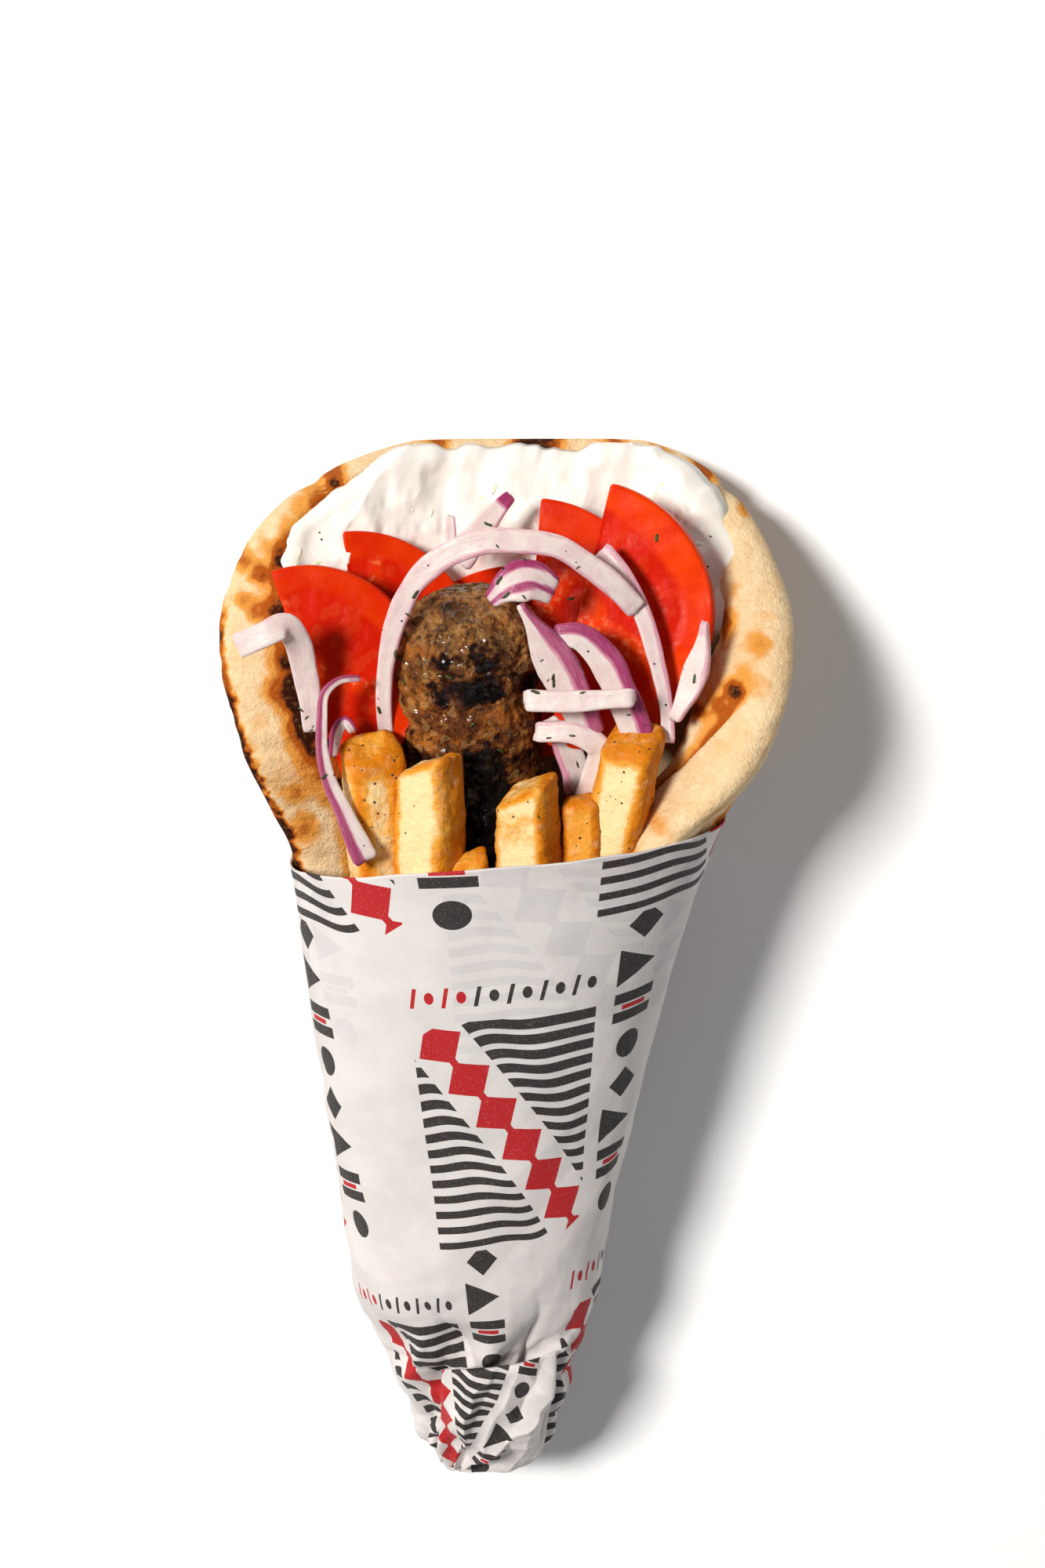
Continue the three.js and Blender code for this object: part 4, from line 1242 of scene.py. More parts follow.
def fry_rings(tip, end, wide, deep, roll, slant, seed):
    """Rings of a fry from its hidden end to its cut tip, with the share across and over for each point, its
    distance from the tip, and a painted-shade mask of the side that faces +X.
    """
    along, across, over, length = line_frame(np.array(end, float), np.array(tip, float))
    line = superellipse(wide / 2, deep / 2, FRY_SQUARENESS, 112)
    spin = math.radians(roll)
    soft = FRY_EDGE * (1 - np.cos(np.linspace(0, math.pi / 2, 9)))
    places = np.concatenate(
        [soft, np.linspace(FRY_EDGE + 0.5, length - FRY_EDGE - 0.5, 110), length - soft[::-1]]
    )
    inset = FRY_EDGE * (1 - rounding(np.minimum(places, length - places), FRY_EDGE))
    inset = inset + FRY_TAPER * smooth(places, length - 22, length)
    caps = np.linspace(0.9, 0.1, 8)
    flat_end = 1 - (FRY_EDGE + FRY_TAPER) * 2 / wide
    places = np.concatenate([np.zeros(8), places, np.full(8, length)])
    scale = np.concatenate([caps[::-1] * (1 - 2 * FRY_EDGE / wide), 1 - inset * 2 / wide, caps * flat_end])
    x = line[None, :, 0] * scale[:, None]
    z = line[None, :, 1] * scale[:, None]
    bow = 0.5 * np.sin(math.pi * places / length)[:, None]
    turned_x = x * math.cos(spin) - z * math.sin(spin)
    turned_z = x * math.sin(spin) + z * math.cos(spin) + bow
    near_tip = smooth(places, length - 14, length)[:, None]
    reach = places[:, None] + (slant[0] * x + slant[1] * z) * near_tip
    reach = reach - (abs(slant[0]) * wide + abs(slant[1]) * deep) / 4 * near_tip
    away = turned_x[..., None] * across + turned_z[..., None] * over
    rings = np.array(end, float) + reach[..., None] * along + away
    rough_skin = 0.3 * rough(rings, 9, seed) + 0.22 * rough(rings, 3.2, seed + 7)
    rough_skin = rough_skin + 0.1 * rough(rings, 1.1, seed + 13)
    away = unit(away + 1e-6 * over)
    last = smooth(places, length - FRY_EDGE, length)[:, None, None]
    rings = rings + (rough_skin - 0.25)[..., None] * (away * (1 - last) + along * last * 1.2)
    # Painted shade: a mask of the side facing +X, away from the key light, which fry_crust browns as if it
    # were in shadow.
    side = smooth(turned_x / wide, 0.12, 0.4)
    return rings, np.abs(x) * 2 / wide, np.abs(z) * 2 / deep, length - places, side


def fry_crust(rings, wide_share, deep_share, from_tip, side, golden, brown, reach):
    """How crisp and brown a fry's surface is, from 0 to 1, with painted shade that browns the side facing +X.
    """
    corner = np.minimum(wide_share, deep_share)
    edges = 0.66 * smooth(corner, 0.4, 0.88)
    tip = brown * (1 - smooth(from_tip[:, None], 0.4, reach))
    outline = np.maximum(wide_share, deep_share)
    rim = 0.6 * np.exp(-((from_tip[:, None] / 1.5) ** 2)) * smooth(outline, 0.5, 0.9)
    patch = rough(rings, 6, 111)
    cloud = 0.3 * smooth(rough(rings, 12, 113), 0.0, 0.8)
    # 0.68 * side is painted shade: it browns the side facing +X as if it were shadowed.
    total = golden + 0.68 * side + np.maximum(edges, np.maximum(tip + rim, cloud)) * (0.85 + 0.35 * patch)
    return np.clip(total + 0.1 * rough(rings, 1.6, 117), 0, 0.78)


def potato_material(settings):
    material, nodes = new_material("fried potato")
    place = nodes.place()
    # The crust mask also holds painted shade: each fry's side that faces +X is browned as if shadowed.
    crust = nodes.shake(nodes.mask("crust"), nodes.noise(place, 1.1, 6.0, 0.6), 0.36)
    base = nodes.mix(nodes.step(crust, 0.02, 0.36), settings.potato, tint(226, 156, 54))
    base = nodes.mix(nodes.step(crust, 0.34, 0.7), base, settings.crust)
    base = nodes.mix(nodes.step(crust, 0.7, 1.1), base, settings.crust_dark)
    pale = nodes.mottle(place, 2.6, 0.5, 0.72)
    base = nodes.mix(nodes.times(pale, 0.16), base, tint(252, 234, 196))
    oily = nodes.mottle(place, 1.6, 0.4, 0.65)
    roughness = nodes.math("MULTIPLY_ADD", oily, -0.2, 0.56)
    relief = nodes.relief(place, 1.1, 0.35, 0.5)
    finish(nodes, base, roughness, relief, strength=0.6, depth=0.0006, soft=0.08, Specular_IOR_Level=0.12)
    return material


class GYRO_OT_fries(bpy.types.Operator):
    """Makes the six thick-cut fries"""

    bl_idname = "gyro.fries"
    bl_label = "Fries"

    def execute(self, context):
        material = potato_material(context.scene.gyro_filling)
        for number, (node, tip, end, wide, deep, roll, slant, golden, brown, reach) in enumerate(FRIES):
            rings, *place = fry_rings(tip, end, wide, deep, roll, slant, 200 + 20 * number)
            points, faces = tube(rings)
            # The crust mask includes painted shade on the side that faces +X.
            crust = fry_crust(rings, *place, golden, brown, reach)
            add_mesh(
                node + "_piece", points, faces, node, {"crust": spread(crust)}, material=material
            )
        return {"FINISHED"}


# ---- the tomato slices ----

# Each half slice: its node, the middle of its straight cut, the way it bulges, the way its face looks, its
# radius, its thickness, the turn of its inner pattern and how much painted shade deepens its red.
TOMATOES = (
    ("tomato_right", (14.1, 83.3, 34), (0.98, -0.21, 0.2), (-0.22, 0.22, 1), 25.5, 6.5, 0.3, 0.0),
    ("tomato_inner_right", (5, 78.5, 25), (1, -0.05, 0.15), (-0.12, 0.25, 1), 25, 6, 1.1, 0.35),
    ("tomato_middle", (3, 62, 24), (0.08, 1, -0.3), (0, 0.3, 1), 28, 6, 0.6, 0.5),
    ("tomato_left", (-37.3, 71.6, 37), (0.945, 0.324, -0.05), (0.1, 0.25, 1), 21.5, 7, 0.5, 0.4),
    ("tomato_low_left", (-20, 74, 30), (-0.75, -0.65, 0.2), (0.2, 0.25, 1), 21, 6, 0.2, 0.5),
    ("tomato_back_left", (-28.7, 75, 27), (0.97, 0.1, -0.1), (0.05, 0.3, 1), 22.5, 6, 0.9, 0.4),
)
TOMATO_WALL = 0.8  # where the outer wall starts, as a share of the radius
TOMATO_EDGE = 1.0


def half_disc(radius, count):
    """Evenly spaced points round a half disc whose straight side has rounded corners."""
    arc = np.linspace(-math.pi / 2, math.pi / 2, 900)
    cut = np.linspace(1, -1, 500)[1:-1]
    line = np.concatenate([
        np.stack([np.cos(arc), np.sin(arc)], -1),
        np.stack([0 * cut, cut], -1),
    ]) * radius
    for _ in range(40):
        line = (np.roll(line, 1, axis=0) + line + np.roll(line, -1, axis=0)) / 3
    return evenly(np.vstack([line, line[:1]]), count)


def tomato_pattern(out, side, radius, twist, seed):
    """The cut face's inner pattern: masks of wall, pale ribs and seeds, each from 0 to 1."""
    far = np.hypot(out, side) / radius
    angle = np.arctan2(side, out) + twist
    flat = np.stack([out, side, out * 0 + seed], axis=-1)
    wobble = 0.05 * rough(flat, 7, seed)
    wall = smooth(far + wobble, TOMATO_WALL - 0.07, TOMATO_WALL + 0.02)
    rib = np.abs(np.sin(1.5 * angle + 2.5 * wobble))
    ribs = (1 - smooth(rib * far, 0.05, 0.16)) * (1 - wall)
    ribs = np.maximum(ribs, 1 - smooth(far + wobble, 0.14, 0.26))
    rng = np.random.default_rng(seed)
    seeds = 0.0 * far
    for _ in range(34):
        place = rng.uniform(0.34, 0.74) * radius
        turn = rng.uniform(-math.pi / 2, math.pi / 2)
        centre = np.array([place * math.cos(turn), place * math.sin(turn)])
        near = np.array([out - centre[0], side - centre[1]])
        lengthways = near[0] * math.cos(turn) + near[1] * math.sin(turn)
        sideways = -near[0] * math.sin(turn) + near[1] * math.cos(turn)
        seeds = np.maximum(seeds, 1 - smooth(np.hypot(lengthways / 1.5, sideways / 0.95), 0.75, 1.05))
    seeds = seeds * (1 - ribs) * (1 - wall)
    return wall, ribs, seeds


def tomato_rings(centre, bulge, face, radius, thick, twist, seed):
    """Rings from the middle of the upper face, over the rim, to the middle of the lower face, with masks."""
    out = np.array(bulge, float) / np.linalg.norm(bulge)
    side = np.cross(face, out)
    side /= np.linalg.norm(side)
    up = np.cross(out, side)
    line = half_disc(radius, 300)
    core = np.array([0.42 * radius, 0.0])
    edge = TOMATO_EDGE / radius
    flat = np.linspace(0.02, 1 - edge * 1.8, 92)
    bend = np.linspace(0, math.pi / 2, 9)
    shares = np.concatenate([flat, 1 - edge * (1 - np.sin(bend))])
    lift = np.concatenate([0 * flat, TOMATO_EDGE * (np.cos(bend) - 1)]) + thick / 2
    shares = np.concatenate([shares, np.ones(6), shares[::-1]])
    levels = np.concatenate([lift, np.linspace(lift[-1], -lift[-1], 8)[1:-1], -lift[::-1]])
    flat_line = core + (line - core) * shares[:, None, None]
    wall, ribs, seeds = tomato_pattern(flat_line[..., 0], flat_line[..., 1], radius, twist, seed)
    turned = np.sign(levels)[:, None] * smooth(1 - shares, 0, 0.05)[:, None]
    gel = (1 - wall) * (1 - ribs)
    depth = 0.15 * gel - 0.03 * seeds
    spots = np.array(centre, float) + flat_line[..., 0:1] * out + flat_line[..., 1:2] * side
    spots = spots + levels[:, None, None] * up
    wet = 0.3 * rough(spots, 10, seed + 3) + (0.015 + 0.03 * gel) * rough(spots, 1.7, seed + 5)
    rings = spots + (turned * (wet - depth - 0.15))[..., None] * up
    skin = np.exp(-((levels / (thick / 2 - 0.7)) ** 8))[:, None] * (shares > 1 - edge * 0.6)[:, None]
    skin = skin * smooth(np.hypot(flat_line[..., 0], flat_line[..., 1]), radius * 0.93, radius * 0.97)
    return rings, {"wall": wall, "rib": ribs, "seed": seeds, "skin": skin}


def tomato_material(settings):
    material, nodes = new_material("fresh tomato")
    place = nodes.place()
    wall, rib, seed, skin = (nodes.mask(name) for name in ("wall", "rib", "seed", "skin"))
    cloud = nodes.mottle(place, 6.0, 0.38, 0.66)
    fine = nodes.mottle(place, 1.4, 0.5, 0.68)
    flesh = nodes.mix(cloud, settings.tomato, tint(212, 42, 1))
    gel = nodes.mix(cloud, settings.tomato_deep, tint(206, 30, 1))
    base = nodes.mix(nodes.math("MAXIMUM", wall, rib), gel, flesh)
    # Painted shade: each slice's whole face is darkened towards a deeper red by its share of shade.
    base = nodes.mix(nodes.mask("ripe"), base, tint(180, 24, 1))
    streak = nodes.times(nodes.times(rib, fine), 0.4)
    base = nodes.mix(streak, base, settings.tomato_pale)
    base = nodes.mix(nodes.times(seed, 0.05), base, tint(240, 140, 70))
    # Painted highlight: small pale dots stand in for glints on the wet flesh, since the shader's specular is
    # kept low.
    dots = nodes.specks(place, 1.7, 0.16, 0.35)
    base = nodes.mix(nodes.times(dots, 0.12), base, tint(250, 150, 100))
    base = nodes.mix(nodes.times(skin, 0.85), base, tint(214, 40, 6))
    rough_face = nodes.math("MULTIPLY_ADD", fine, -0.1, 0.36)
    roughness = nodes.math("MULTIPLY_ADD", skin, -0.08, rough_face)
    relief = nodes.relief(place, 1.5, 0.55, 0.5)
    calm = nodes.times(relief, nodes.math("SUBTRACT", 1.0, nodes.times(skin, 0.85)))
    finish(
        nodes, base, roughness, calm, strength=0.14, depth=0.0004, soft=0.06,
        Subsurface_Scale=0.003, Specular_IOR_Level=0.05,
    )
    return material


class GYRO_OT_tomatoes(bpy.types.Operator):
    """Makes the six half slices of tomato"""

    bl_idname = "gyro.tomatoes"
    bl_label = "Tomato slices"

    def execute(self, context):
        material = tomato_material(context.scene.gyro_filling)
        for number, (node, *sizes, ripe) in enumerate(TOMATOES):
            rings, masks = tomato_rings(*sizes, seed=400 + 20 * number)
            points, faces = tube(rings)
            masks["ripe"] = ripe + 0 * masks["wall"]
            masks = {key: spread(values) for key, values in masks.items()}
            add_mesh(node + "_slice", points, faces, node, masks, material=material)
        return {"FINISHED"}


# ---- the onion strips ----

# Each strip: its node, width, thickness, the way its wide side looks, how much of its width is left at its
# first and its last end, the purple bands across it (each a centre from -1 to 1, a half width and a
# strength), the purple of its first and its last end, and the line it follows.
ONIONS = (
    ("onion_ring", 4.3, 2.6, (0, 0.2, 1), (0.7, 1.0), ((-0.95, 0.35, 0.35), (0.95, 0.3, 0.25)), (0, 0), (
        (-22.5, 59.5, 41), (-23, 67.5, 42.5), (-22.5, 75.5, 43.5), (-20.5, 84.5, 44.5), (-16.5, 92.5, 45.5),
        (-10.5, 97.5, 46), (-3.5, 100, 46.5), (2.5, 100, 46.5), (9.5, 99, 46.5), (15, 95.5, 46),
        (20, 91.5, 45.5), (24.5, 86.5, 44.5),
    )),
    ("onion_outer_arc", 3.2, 2.2, (0, 0.2, 1), (1.2, 0.8), ((0.9, 0.6, 0.4),), (0.2, 0), (
        (18, 97, 40), (22, 92, 42), (25.5, 85.5, 43.5), (28, 77.5, 44.5), (30, 68.5, 45.5),
        (30.5, 61.5, 46),
    )),
    ("onion_wedge", 8.6, 2.6, (-0.3, 0.2, 1), (0.2, 0.75), ((1.0, 0.95, 0.85),), (0, 0), (
        (2.5, 89, 49.5), (6.5, 82.5, 49), (10.5, 75, 48), (14, 67.5, 47), (15.5, 63, 46),
    )),
    ("onion_arch", 6.4, 2.6, (-0.15, 0.2, 1), (0.7, 0.9), ((1.0, 1.0, 0.95),), (0, 0), (
        (9, 82.5, 48), (13.5, 82.5, 48.5), (18, 78.5, 48.5), (21.5, 71.5, 48.5), (24.5, 64, 48),
        (25.5, 60, 47.5),
    )),
    ("onion_bar", 3.7, 2.6, (0, 0.25, 1), (1.0, 1.0), ((0.95, 0.2, 0.12),), (0, 0), (
        (3.5, 71.5, 53), (11, 71.5, 54), (18, 72, 54.5), (23.5, 72.5, 55),
    )),
    ("onion_hook", 4.8, 2.2, (0, 0.2, 1), (0.8, 1.0), ((1.0, 0.45, 0.3),), (0, 0), (
        (5.5, 63.5, 46), (13, 63.5, 47), (17.5, 60.5, 47), (16.5, 54.5, 46), (15, 49.5, 45),
    )),
    ("onion_deep", 5.5, 2.4, (0.3, 0.3, 1), (0.5, 0.9), ((-0.95, 0.4, 0.5),), (0, 0), (
        (8, 64.5, 40), (11, 60, 41), (13, 55, 41.5), (13.5, 50, 41.5),
    )),
    ("onion_right", 5.2, 2.4, (-0.4, 0.2, 1), (0.3, 0.5), ((1.0, 0.5, 0.35),), (0.3, 0), (
        (37, 84.5, 45.5), (36.5, 79.5, 46), (34.5, 72.5, 46.5), (31.5, 66, 47),
    )),
    ("onion_curl", 2.3, 2.2, (0.3, 0.2, 1), (0.6, 2.0), ((-0.95, 0.95, 0.9),), (0.4, 0), (
        (-27, 74.5, 48), (-31, 74.5, 50), (-33.5, 72.5, 52), (-34, 68, 53.5), (-34, 62, 54.5),
        (-32.5, 56, 55.5), (-30.5, 52, 56.5), (-28.5, 47.5, 57.5), (-26, 42, 58),
    )),
    ("onion_over_rim", 5.0, 2.0, (0, 0.3, 1), (1.0, 0.8), ((1.0, 0.3, 0.2),), (0, 0), (
        (-49.5, 81.5, 52), (-44.5, 84, 53.5), (-40.5, 85.5, 52.5), (-38.5, 82, 50), (-37.5, 76.5, 48),
        (-36.5, 69.5, 47), (-36, 63.5, 46),
    )),
    ("onion_crescent", 7.2, 2.6, (0.1, 0.4, 1), (0.45, 0.8), (
        (0.95, 0.4, 1.0), (-0.25, 0.24, 0.9),
    ), (0.2, 0.2), (
        (-3, 89.5, 50), (0.5, 92.5, 50.5), (4.5, 93.5, 50), (9, 91, 48.5),
    )),
    ("onion_top", 4.6, 2.0, (0, 0.3, 1), (0.55, 1.3), ((1.0, 0.3, 0.4),), (1.0, 0), (
        (1, 104.5, 25), (-2, 101.5, 26.5), (-6, 97, 29), (-9.5, 93, 31),
    )),
    ("onion_sliver", 2.2, 1.8, (0, 0.3, 1), (0.8, 1.0), ((1.0, 0.5, 0.3),), (0, 0), (
        (-10.5, 101, 27), (-10.5, 98, 28.5), (-10.5, 94.5, 30.5),
    )),
    ("onion_tuft", 2.4, 2.2, (0.2, 0.2, 1), (0.7, 0.8), ((0.9, 0.7, 0.95),), (0, 0), (
        (-32.5, 59.5, 48), (-31.5, 64.5, 48.5), (-30, 66.5, 49), (-28.5, 64.5, 49),
    )),
)


def smooth_route(route, step):
    """Evenly spaced points along a smooth curve through the route, and the curve's length."""
    route = np.array(route, float)
    knots = np.concatenate([[0], np.cumsum(np.linalg.norm(np.diff(route, axis=0), axis=1) ** 0.5)])
    ghost = np.vstack([2 * route[0] - route[1], route, 2 * route[-1] - route[-2]])
    times = np.concatenate([[-knots[1]], knots, [2 * knots[-1] - knots[-2]]])
    pieces = []
    for i in range(1, len(ghost) - 2):
        t = np.linspace(times[i], times[i + 1], 40)[:, None]
        t0, t1, t2, t3 = times[i - 1:i + 3]
        p0, p1, p2, p3 = ghost[i - 1:i + 3]
        a1 = (t1 - t) / (t1 - t0) * p0 + (t - t0) / (t1 - t0) * p1
        a2 = (t2 - t) / (t2 - t1) * p1 + (t - t1) / (t2 - t1) * p2
        a3 = (t3 - t) / (t3 - t2) * p2 + (t - t2) / (t3 - t2) * p3
        b1 = (t2 - t) / (t2 - t0) * a1 + (t - t0) / (t2 - t0) * a2
        b2 = (t3 - t) / (t3 - t1) * a2 + (t - t1) / (t3 - t1) * a3
        pieces.append((t2 - t) / (t2 - t1) * b1 + (t - t1) / (t2 - t1) * b2)
    line = np.vstack(pieces)
    length = walk(line)[-1]
    return points_at(line, np.linspace(0, 1, max(12, int(length / step))) * length), length


def onion_rings(width, thick, face, ends, route, seed):
    """Rings along an onion strip, with each point's place across it, from -1 to 1, and along it."""
    line, length = smooth_route(route, 0.45)
    tangent = unit(np.gradient(line, axis=0))
    across = unit(np.cross(face, tangent))
    up = np.cross(tangent, across)
    outline = superellipse(1, 1, 3.4, 44)
    walked = np.linspace(0, length, len(line))
    from_end = np.minimum(walked, length - walked)
    slim = 0.35 + 0.65 * rounding(from_end, 1.1)
    flat = on_line(walked, seed)
    share = walked / length
    taper = 1 - (1 - ends[0]) * (1 - smooth(share, 0, 0.5)) - (1 - ends[1]) * smooth(share, 0.5, 1)
    wide = width / 2 * (1 + 0.1 * rough(flat, 8, seed)) * (0.7 + 0.3 * slim) * taper
    deep = thick / 2 * (1 + 0.08 * rough(flat, 6, seed + 1)) * slim
    x = outline[None, :, 0] * wide[:, None]
    z = outline[None, :, 1] * deep[:, None]
    hollow = 0.16 * thick * (1 - (outline[:, 0] ** 2)) * np.sign(outline[:, 1])
    z = z - (hollow[None] * slim[:, None])
    ragged = 0.5 * rough(np.stack([x, z, z * 0 + seed], -1), 1.6, seed + 2) * (from_end < 0.3)[:, None]
    centres = line[:, None] + (ragged * np.sign(walked - length / 2)[:, None])[..., None] * tangent[:, None]
    rings = centres + x[..., None] * across[:, None] + z[..., None] * up[:, None]
    rings = rings + (0.07 * rough(rings, 2.4, seed + 3))[..., None] * up[:, None]
    return rings, np.broadcast_to(outline[None, :, 0], x.shape), np.broadcast_to(walked[:, None], x.shape)


def onion_skin(across, along, bands, ends):
    """How much purple skin shows at each point, from 0 to 1."""
    length = along.max()
    band = 0.0
    for centre, wide, strength in bands:
        near = np.abs(across - centre - 0.12 * rough(on_line(along, centre), 6, 505)) / wide
        band = np.maximum(band, strength * (1 - smooth(near, 0.65, 1.0)))
    first = ends[0] * (1 - smooth(along, 2.2, 3.4))
    last = ends[1] * (1 - smooth(length - along, 1.2, 2.6))
    return np.maximum(band, np.maximum(first, last))


def onion_material(settings):
    material, nodes = new_material("red onion")
    place = nodes.place()
    skin, across = nodes.mask("skin"), nodes.mask("across")
    strands = nodes.add(
        "ShaderNodeCombineXYZ", {0: nodes.times(across, 2.6), 1: nodes.times(nodes.mask("along"), 0.1)}
    )
    fibre = nodes.noise(strands.outputs[0], 3.0, 3.0)
    cloud = nodes.mottle(place, 4.0, 0.4, 0.66)
    base = nodes.mix(nodes.times(cloud, 0.55), settings.onion, tint(212, 184, 186))
    base = nodes.mix(nodes.times(nodes.step(fibre, 0.52, 0.68), 0.26), base, tint(200, 160, 170))
    shaded = nodes.shake(skin, fibre, 0.5)
    base = nodes.mix(nodes.step(shaded, 0.1, 0.5), base, tint(200, 140, 158))
    base = nodes.mix(nodes.step(shaded, 0.45, 1.05), base, settings.onion_skin)
    relief = nodes.relief(place, 1.3, 0.45, 0.5)
    height = nodes.math("MULTIPLY_ADD", fibre, 0.9, relief)
    finish(
        nodes, base, 0.34, height, strength=0.3, depth=0.0004, soft=0.22,
        Subsurface_Scale=0.003, Specular_IOR_Level=0.28,
    )
    return material


class GYRO_OT_onions(bpy.types.Operator):
    """Makes the strips of red onion"""

    bl_idname = "gyro.onions"
    bl_label = "Onion strips"

    def execute(self, context):
        material = onion_material(context.scene.gyro_filling)
        for number, (node, width, thick, face, taper, bands, ends, route) in enumerate(ONIONS):
            rings, across, along = onion_rings(width, thick, face, taper, route, 600 + 20 * number)
            points, faces = tube(rings)
            masks = {"skin": onion_skin(across, along, bands, ends), "across": across, "along": along}
            masks = {key: spread(np.array(values, float)) for key, values in masks.items()}
            add_mesh(node + "_strip", points, faces, node, masks, material=material)
        return {"FINISHED"}


# ---- what is strewn over the filling ----

LOOK = Vector((0.0, -0.3, -1.0)).normalized()
AIM_LEVELS = (25, 50)  # how high over the floor the places that are tried lie
FACING = 0.35  # how squarely a face has to look at the camera to hold something


def flake(seed):
    """A small curled leaf piece with a ragged outline, one unit long."""
    rng = np.random.default_rng(seed)
    count = 14
    angle = np.linspace(0, TURN, count + 1)[:-1]
    reach = 1 + rng.uniform(-0.25, 0.3, count)
    rim = np.stack(
        [0.5 * np.cos(angle) * reach, 0.17 * np.sin(angle) * reach, 0.05 * np.cos(2 * angle)], axis=-1
    )
    levels = (0.35, 1.0, 1.0, 0.35)
    heights = (0.13, 0.1, -0.02, -0.05)
    return np.array([rim * (level, level, 1) + (0, 0, height) for level, height in zip(levels, heights)])


def crumb(seed):
    """A small uneven lump, one unit wide."""
    rng = np.random.default_rng(seed)
    angle = np.linspace(0, TURN, 8)[:-1]
    rings = []
    for level in (-0.4, 0.0, 0.4):
        wide = 0.5 * math.sqrt(1 - level**2 * 2.2) * rng.uniform(0.75, 1.1, 7)
        rings.append(np.stack([wide * np.cos(angle), wide * np.sin(angle), 0 * angle + level * 0.8], axis=-1))
    return np.array(rings)


def shred(seed):
    """A curved thin strip, one unit long."""
    rng = np.random.default_rng(seed)
    bend = rng.uniform(-0.35, 0.35)
    along = np.linspace(-0.5, 0.5, 16)
    outline = superellipse(0.075, 0.05, 3, 10)
    slim = np.sqrt(np.clip(1 - (along * 2) ** 4, 0.05, 1))
    rings = outline[None, :, :] * slim[:, None, None]
    middle = bend * (along**2 - 0.1)
    return np.stack(
        [np.broadcast_to(along[:, None], rings.shape[:2]), rings[..., 0] + middle[:, None], rings[..., 1]], -1
    )


def strew(shape, spots, seed):
    """Copies of small shapes at spots (place, normal, size, sink), turned at random, as one set of points."""
    rng = np.random.default_rng(seed)
    points, faces, total = [], [], 0
    for number, (place, normal, size, sink) in enumerate(spots):
        up = np.array(normal)
        first = np.cross(up, rng.normal(size=3))
        first /= np.linalg.norm(first)
        second = np.cross(up, first)
        new_points, new_faces = tube(shape(seed + number % 12) * size)
        turned = new_points[:, :1] * first + new_points[:, 1:2] * second + new_points[:, 2:] * up
        points.append(turned + np.array(place) - up * sink)
        faces += [face + total for face in new_faces]
        total += len(new_points)
    sizes = sorted({face.shape[1] for face in faces})
    return np.vstack(points), [np.vstack([f for f in faces if f.shape[1] == size]) for size in sizes]


def find_spots(wanted, chances, low, high, sizes, seed, sink=0.05):
    """Seeded places in a box seen from the camera's side, on pieces whose names start with given words."""
    rng = np.random.default_rng(seed)
    depsgraph = bpy.context.evaluated_depsgraph_get()
    spots = []
    for _ in range(wanted * 60):
        if len(spots) >= wanted:
            break
        target = rng.uniform(low[0], high[0]), rng.uniform(low[1], high[1]), rng.uniform(*AIM_LEVELS)
        target = Vector(target) * MM
        hit, place, normal, _, piece, _ = bpy.context.scene.ray_cast(depsgraph, target - LOOK * 0.2, LOOK)
        chance = max([v for key, v in chances.items() if hit and piece.name.startswith(key)] or [0])
        if rng.uniform() < chance and normal.dot(-LOOK) > FACING:
            spots.append((np.array(place) / MM, np.array(normal), rng.uniform(*sizes), sink))
    return spots


def plain_material(name, base, shade, roughness, **constants):
    """A finish for small scattered pieces: two colours in patches, with a fine bump."""
    material, nodes = new_material(name)
    place = nodes.place()
    patch = nodes.mottle(place, 1.2, 0.38, 0.62)
    relief = nodes.relief(place, 0.6, 0.25, 0.5)
    finish(nodes, nodes.mix(patch, base, shade), roughness, relief, 0.4, 0.0003, **constants)
    return material


def scatter(name, shape, spots, seed, material):
    points, faces = strew(shape, spots, seed)
    return add_mesh(name, points, faces, None, material=material)


class GYRO_OT_garnish(bpy.types.Operator):
    """Strews herbs and pepper over the filling and sets cucumber shreds in the sauce"""

    bl_idname = "gyro.garnish"
    bl_label = "Herbs, pepper and cucumber"

    def execute(self, context):
        settings = context.scene.gyro_garnish
        context.view_layer.update()
        leaf = settings.leaf / MM
        shreds = find_spots(settings.shreds, {"yogurt": 1}, (-46, 84), (42, 110), (4, 9), 801, sink=0.3)
        liked = {"onion": 0.8, "grilled": 0.35, "tomato": 0.2, "fry_right": 1.0, "fry": 0.15}
        herbs = find_spots(
            settings.herbs, liked, (-40, 40), (40, 104), (leaf * 0.3, leaf * 0.85), 803, sink=0.0
        )
        peppered = {"fry": 1.0, "onion": 0.25, "yogurt": 0.2, "grilled": 0.3}
        pepper = find_spots(settings.pepper, peppered, (-42, 38), (42, 106), (0.25, 0.6), 805)
        if min(len(shreds), len(herbs), len(pepper)) == 0:
            raise RuntimeError("the filling has to be made before the garnish")
        pale = plain_material(
            "cucumber", settings.cucumber, tint(236, 238, 214), 0.28, Coat_Weight=0.4, Coat_Roughness=0.1
        )
        green = plain_material("chopped herbs", settings.green, tint(34, 48, 18), 0.5)
        black = plain_material("ground pepper", tint(34, 28, 24), tint(92, 72, 50), 0.7)
        scatter("cucumber_shreds", shred, shreds, 811, pale)
        scatter("chopped_herbs", flake, herbs, 813, green)
        scatter("ground_pepper", crumb, pepper, 815, black)
        return {"FINISHED"}


# ---- the floor, the light and the camera ----

CAMERA_PLACE = Vector((0.0, 205.93, 558.23)) * MM
CAMERA_AIM = Vector((3.24, 45.72, 20.6)) * MM
SENSOR = 36
FLOOR_HALF = 3  # metres
FLOOR_LEVEL = -0.0004  # just under the wrap, so that the two never share a plane


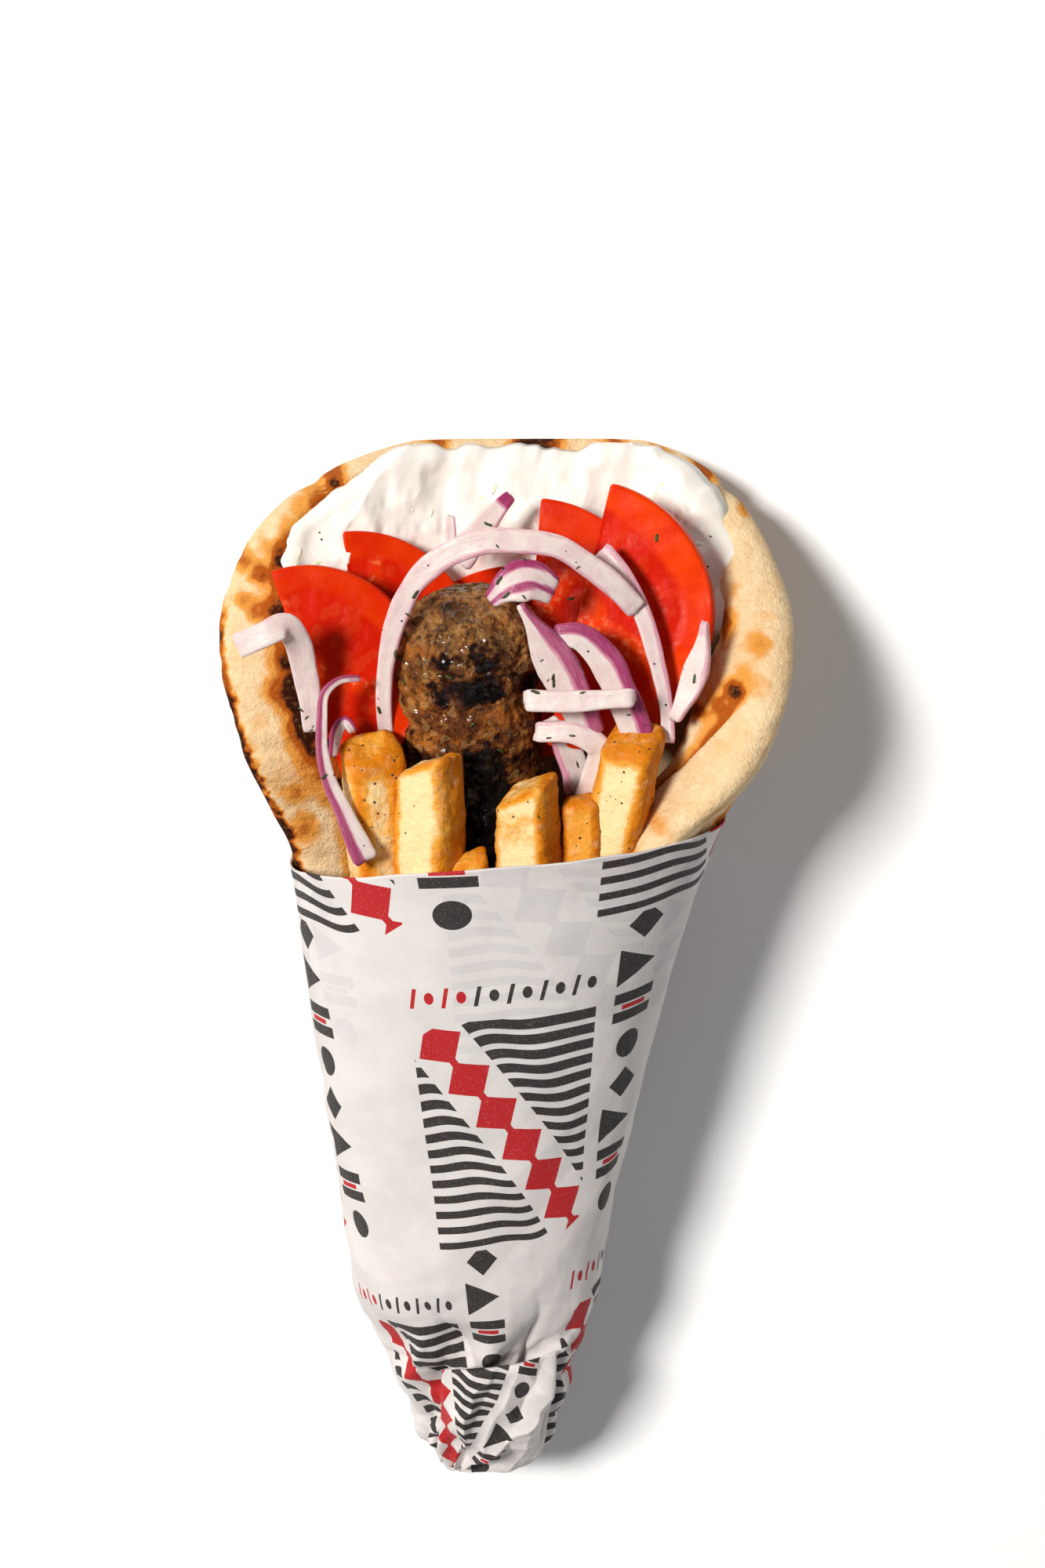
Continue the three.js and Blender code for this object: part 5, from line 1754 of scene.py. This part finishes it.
def floor_material(settings):
    material, nodes = new_material("pale floor")
    place = nodes.place()
    cloud = nodes.mottle(place, 160.0, 0.3, 0.7)
    base = nodes.mix(nodes.times(cloud, 0.2), settings.floor, tint(246, 246, 247))
    relief = nodes.relief(place, 4.0, 1.0, 0.3)
    finish(nodes, base, 0.9, relief, strength=0.04, depth=0.0002)
    return material


def add_light(name, place, size, power, warmth):
    data = bpy.data.lights.new(name, "AREA")
    data.energy = power
    data.size = size
    data.color = warmth
    light = bpy.data.objects.new(name, data)
    light.location = place
    light.rotation_euler = (CAMERA_AIM - Vector(place)).to_track_quat("-Z", "Y").to_euler()
    bpy.context.scene.collection.objects.link(light)


class GYRO_OT_stage(bpy.types.Operator):
    """Lays the floor and sets the lights and the camera"""

    bl_idname = "gyro.stage"
    bl_label = "Floor, light and camera"

    def execute(self, context):
        scene = context.scene
        settings = scene.gyro_stage
        mesh = bpy.data.meshes.new("floor")
        ways = ((-1, -1), (1, -1), (1, 1), (-1, 1))
        square = [(FLOOR_HALF * x, FLOOR_HALF * y, FLOOR_LEVEL) for x, y in ways]
        mesh.from_pydata(square, [], [(0, 1, 2, 3)])
        mesh.materials.append(floor_material(settings))
        floor = bpy.data.objects.new("floor", mesh)
        scene.collection.objects.link(floor)
        add_light("key", (-1.3, 0.95, 2.1), 0.55, settings.key, (1.0, 0.975, 0.94))
        add_light("fill", (1.4, -1.0, 1.8), 2.0, settings.fill, (0.95, 0.975, 1.0))
        world = bpy.data.worlds.new("sky")
        world.use_nodes = True
        background = world.node_tree.nodes["Background"]
        background.inputs["Color"].default_value = (1, 1, 1, 1)
        background.inputs["Strength"].default_value = settings.sky
        scene.world = world
        scene.view_settings.view_transform = "Standard"
        data = bpy.data.cameras.new("camera")
        data.lens = settings.lens
        data.sensor_width = SENSOR
        camera = bpy.data.objects.new("camera", data)
        away = (CAMERA_PLACE - CAMERA_AIM).normalized()
        right = Vector((0, 1, 0)).cross(away).normalized()
        camera.matrix_world = Matrix((right, away.cross(right), away)).transposed().to_4x4()
        camera.location = CAMERA_PLACE
        scene.collection.objects.link(camera)
        scene.camera = camera
        return {"FINISHED"}


# ---- the panel, and making everything ----

OPERATORS = (
    GYRO_OT_paper,
    GYRO_OT_bread,
    GYRO_OT_sauce,
    GYRO_OT_kebab,
    GYRO_OT_fries,
    GYRO_OT_tomatoes,
    GYRO_OT_onions,
    GYRO_OT_garnish,
    GYRO_OT_stage,
)


class GYRO_PT_panel(bpy.types.Panel):
    """Lists the wrap's operators and settings"""

    bl_idname = "GYRO_PT_panel"
    bl_label = "Gyro wrap"
    bl_space_type = "VIEW_3D"
    bl_region_type = "UI"
    bl_category = "Gyro wrap"

    def draw(self, context):
        for operator in OPERATORS:
            self.layout.operator(operator.bl_idname)
        for key, group in SETTINGS.items():
            box = self.layout.box()
            box.label(text=group.__doc__)
            for name in group.__annotations__:
                box.prop(getattr(context.scene, key), name)


CLASSES = (*SETTINGS.values(), *OPERATORS, GYRO_PT_panel)


def register():
    for kind in CLASSES:
        bpy.utils.register_class(kind)
    for key, group in SETTINGS.items():
        setattr(bpy.types.Scene, key, PointerProperty(type=group))


def unregister():
    for key in SETTINGS:
        delattr(bpy.types.Scene, key)
    for kind in reversed(CLASSES):
        bpy.utils.unregister_class(kind)


def main():
    register()
    for operator in OPERATORS:
        area, name = operator.bl_idname.split(".")
        getattr(getattr(bpy.ops, area), name)()


if __name__ == "__main__":
    main()
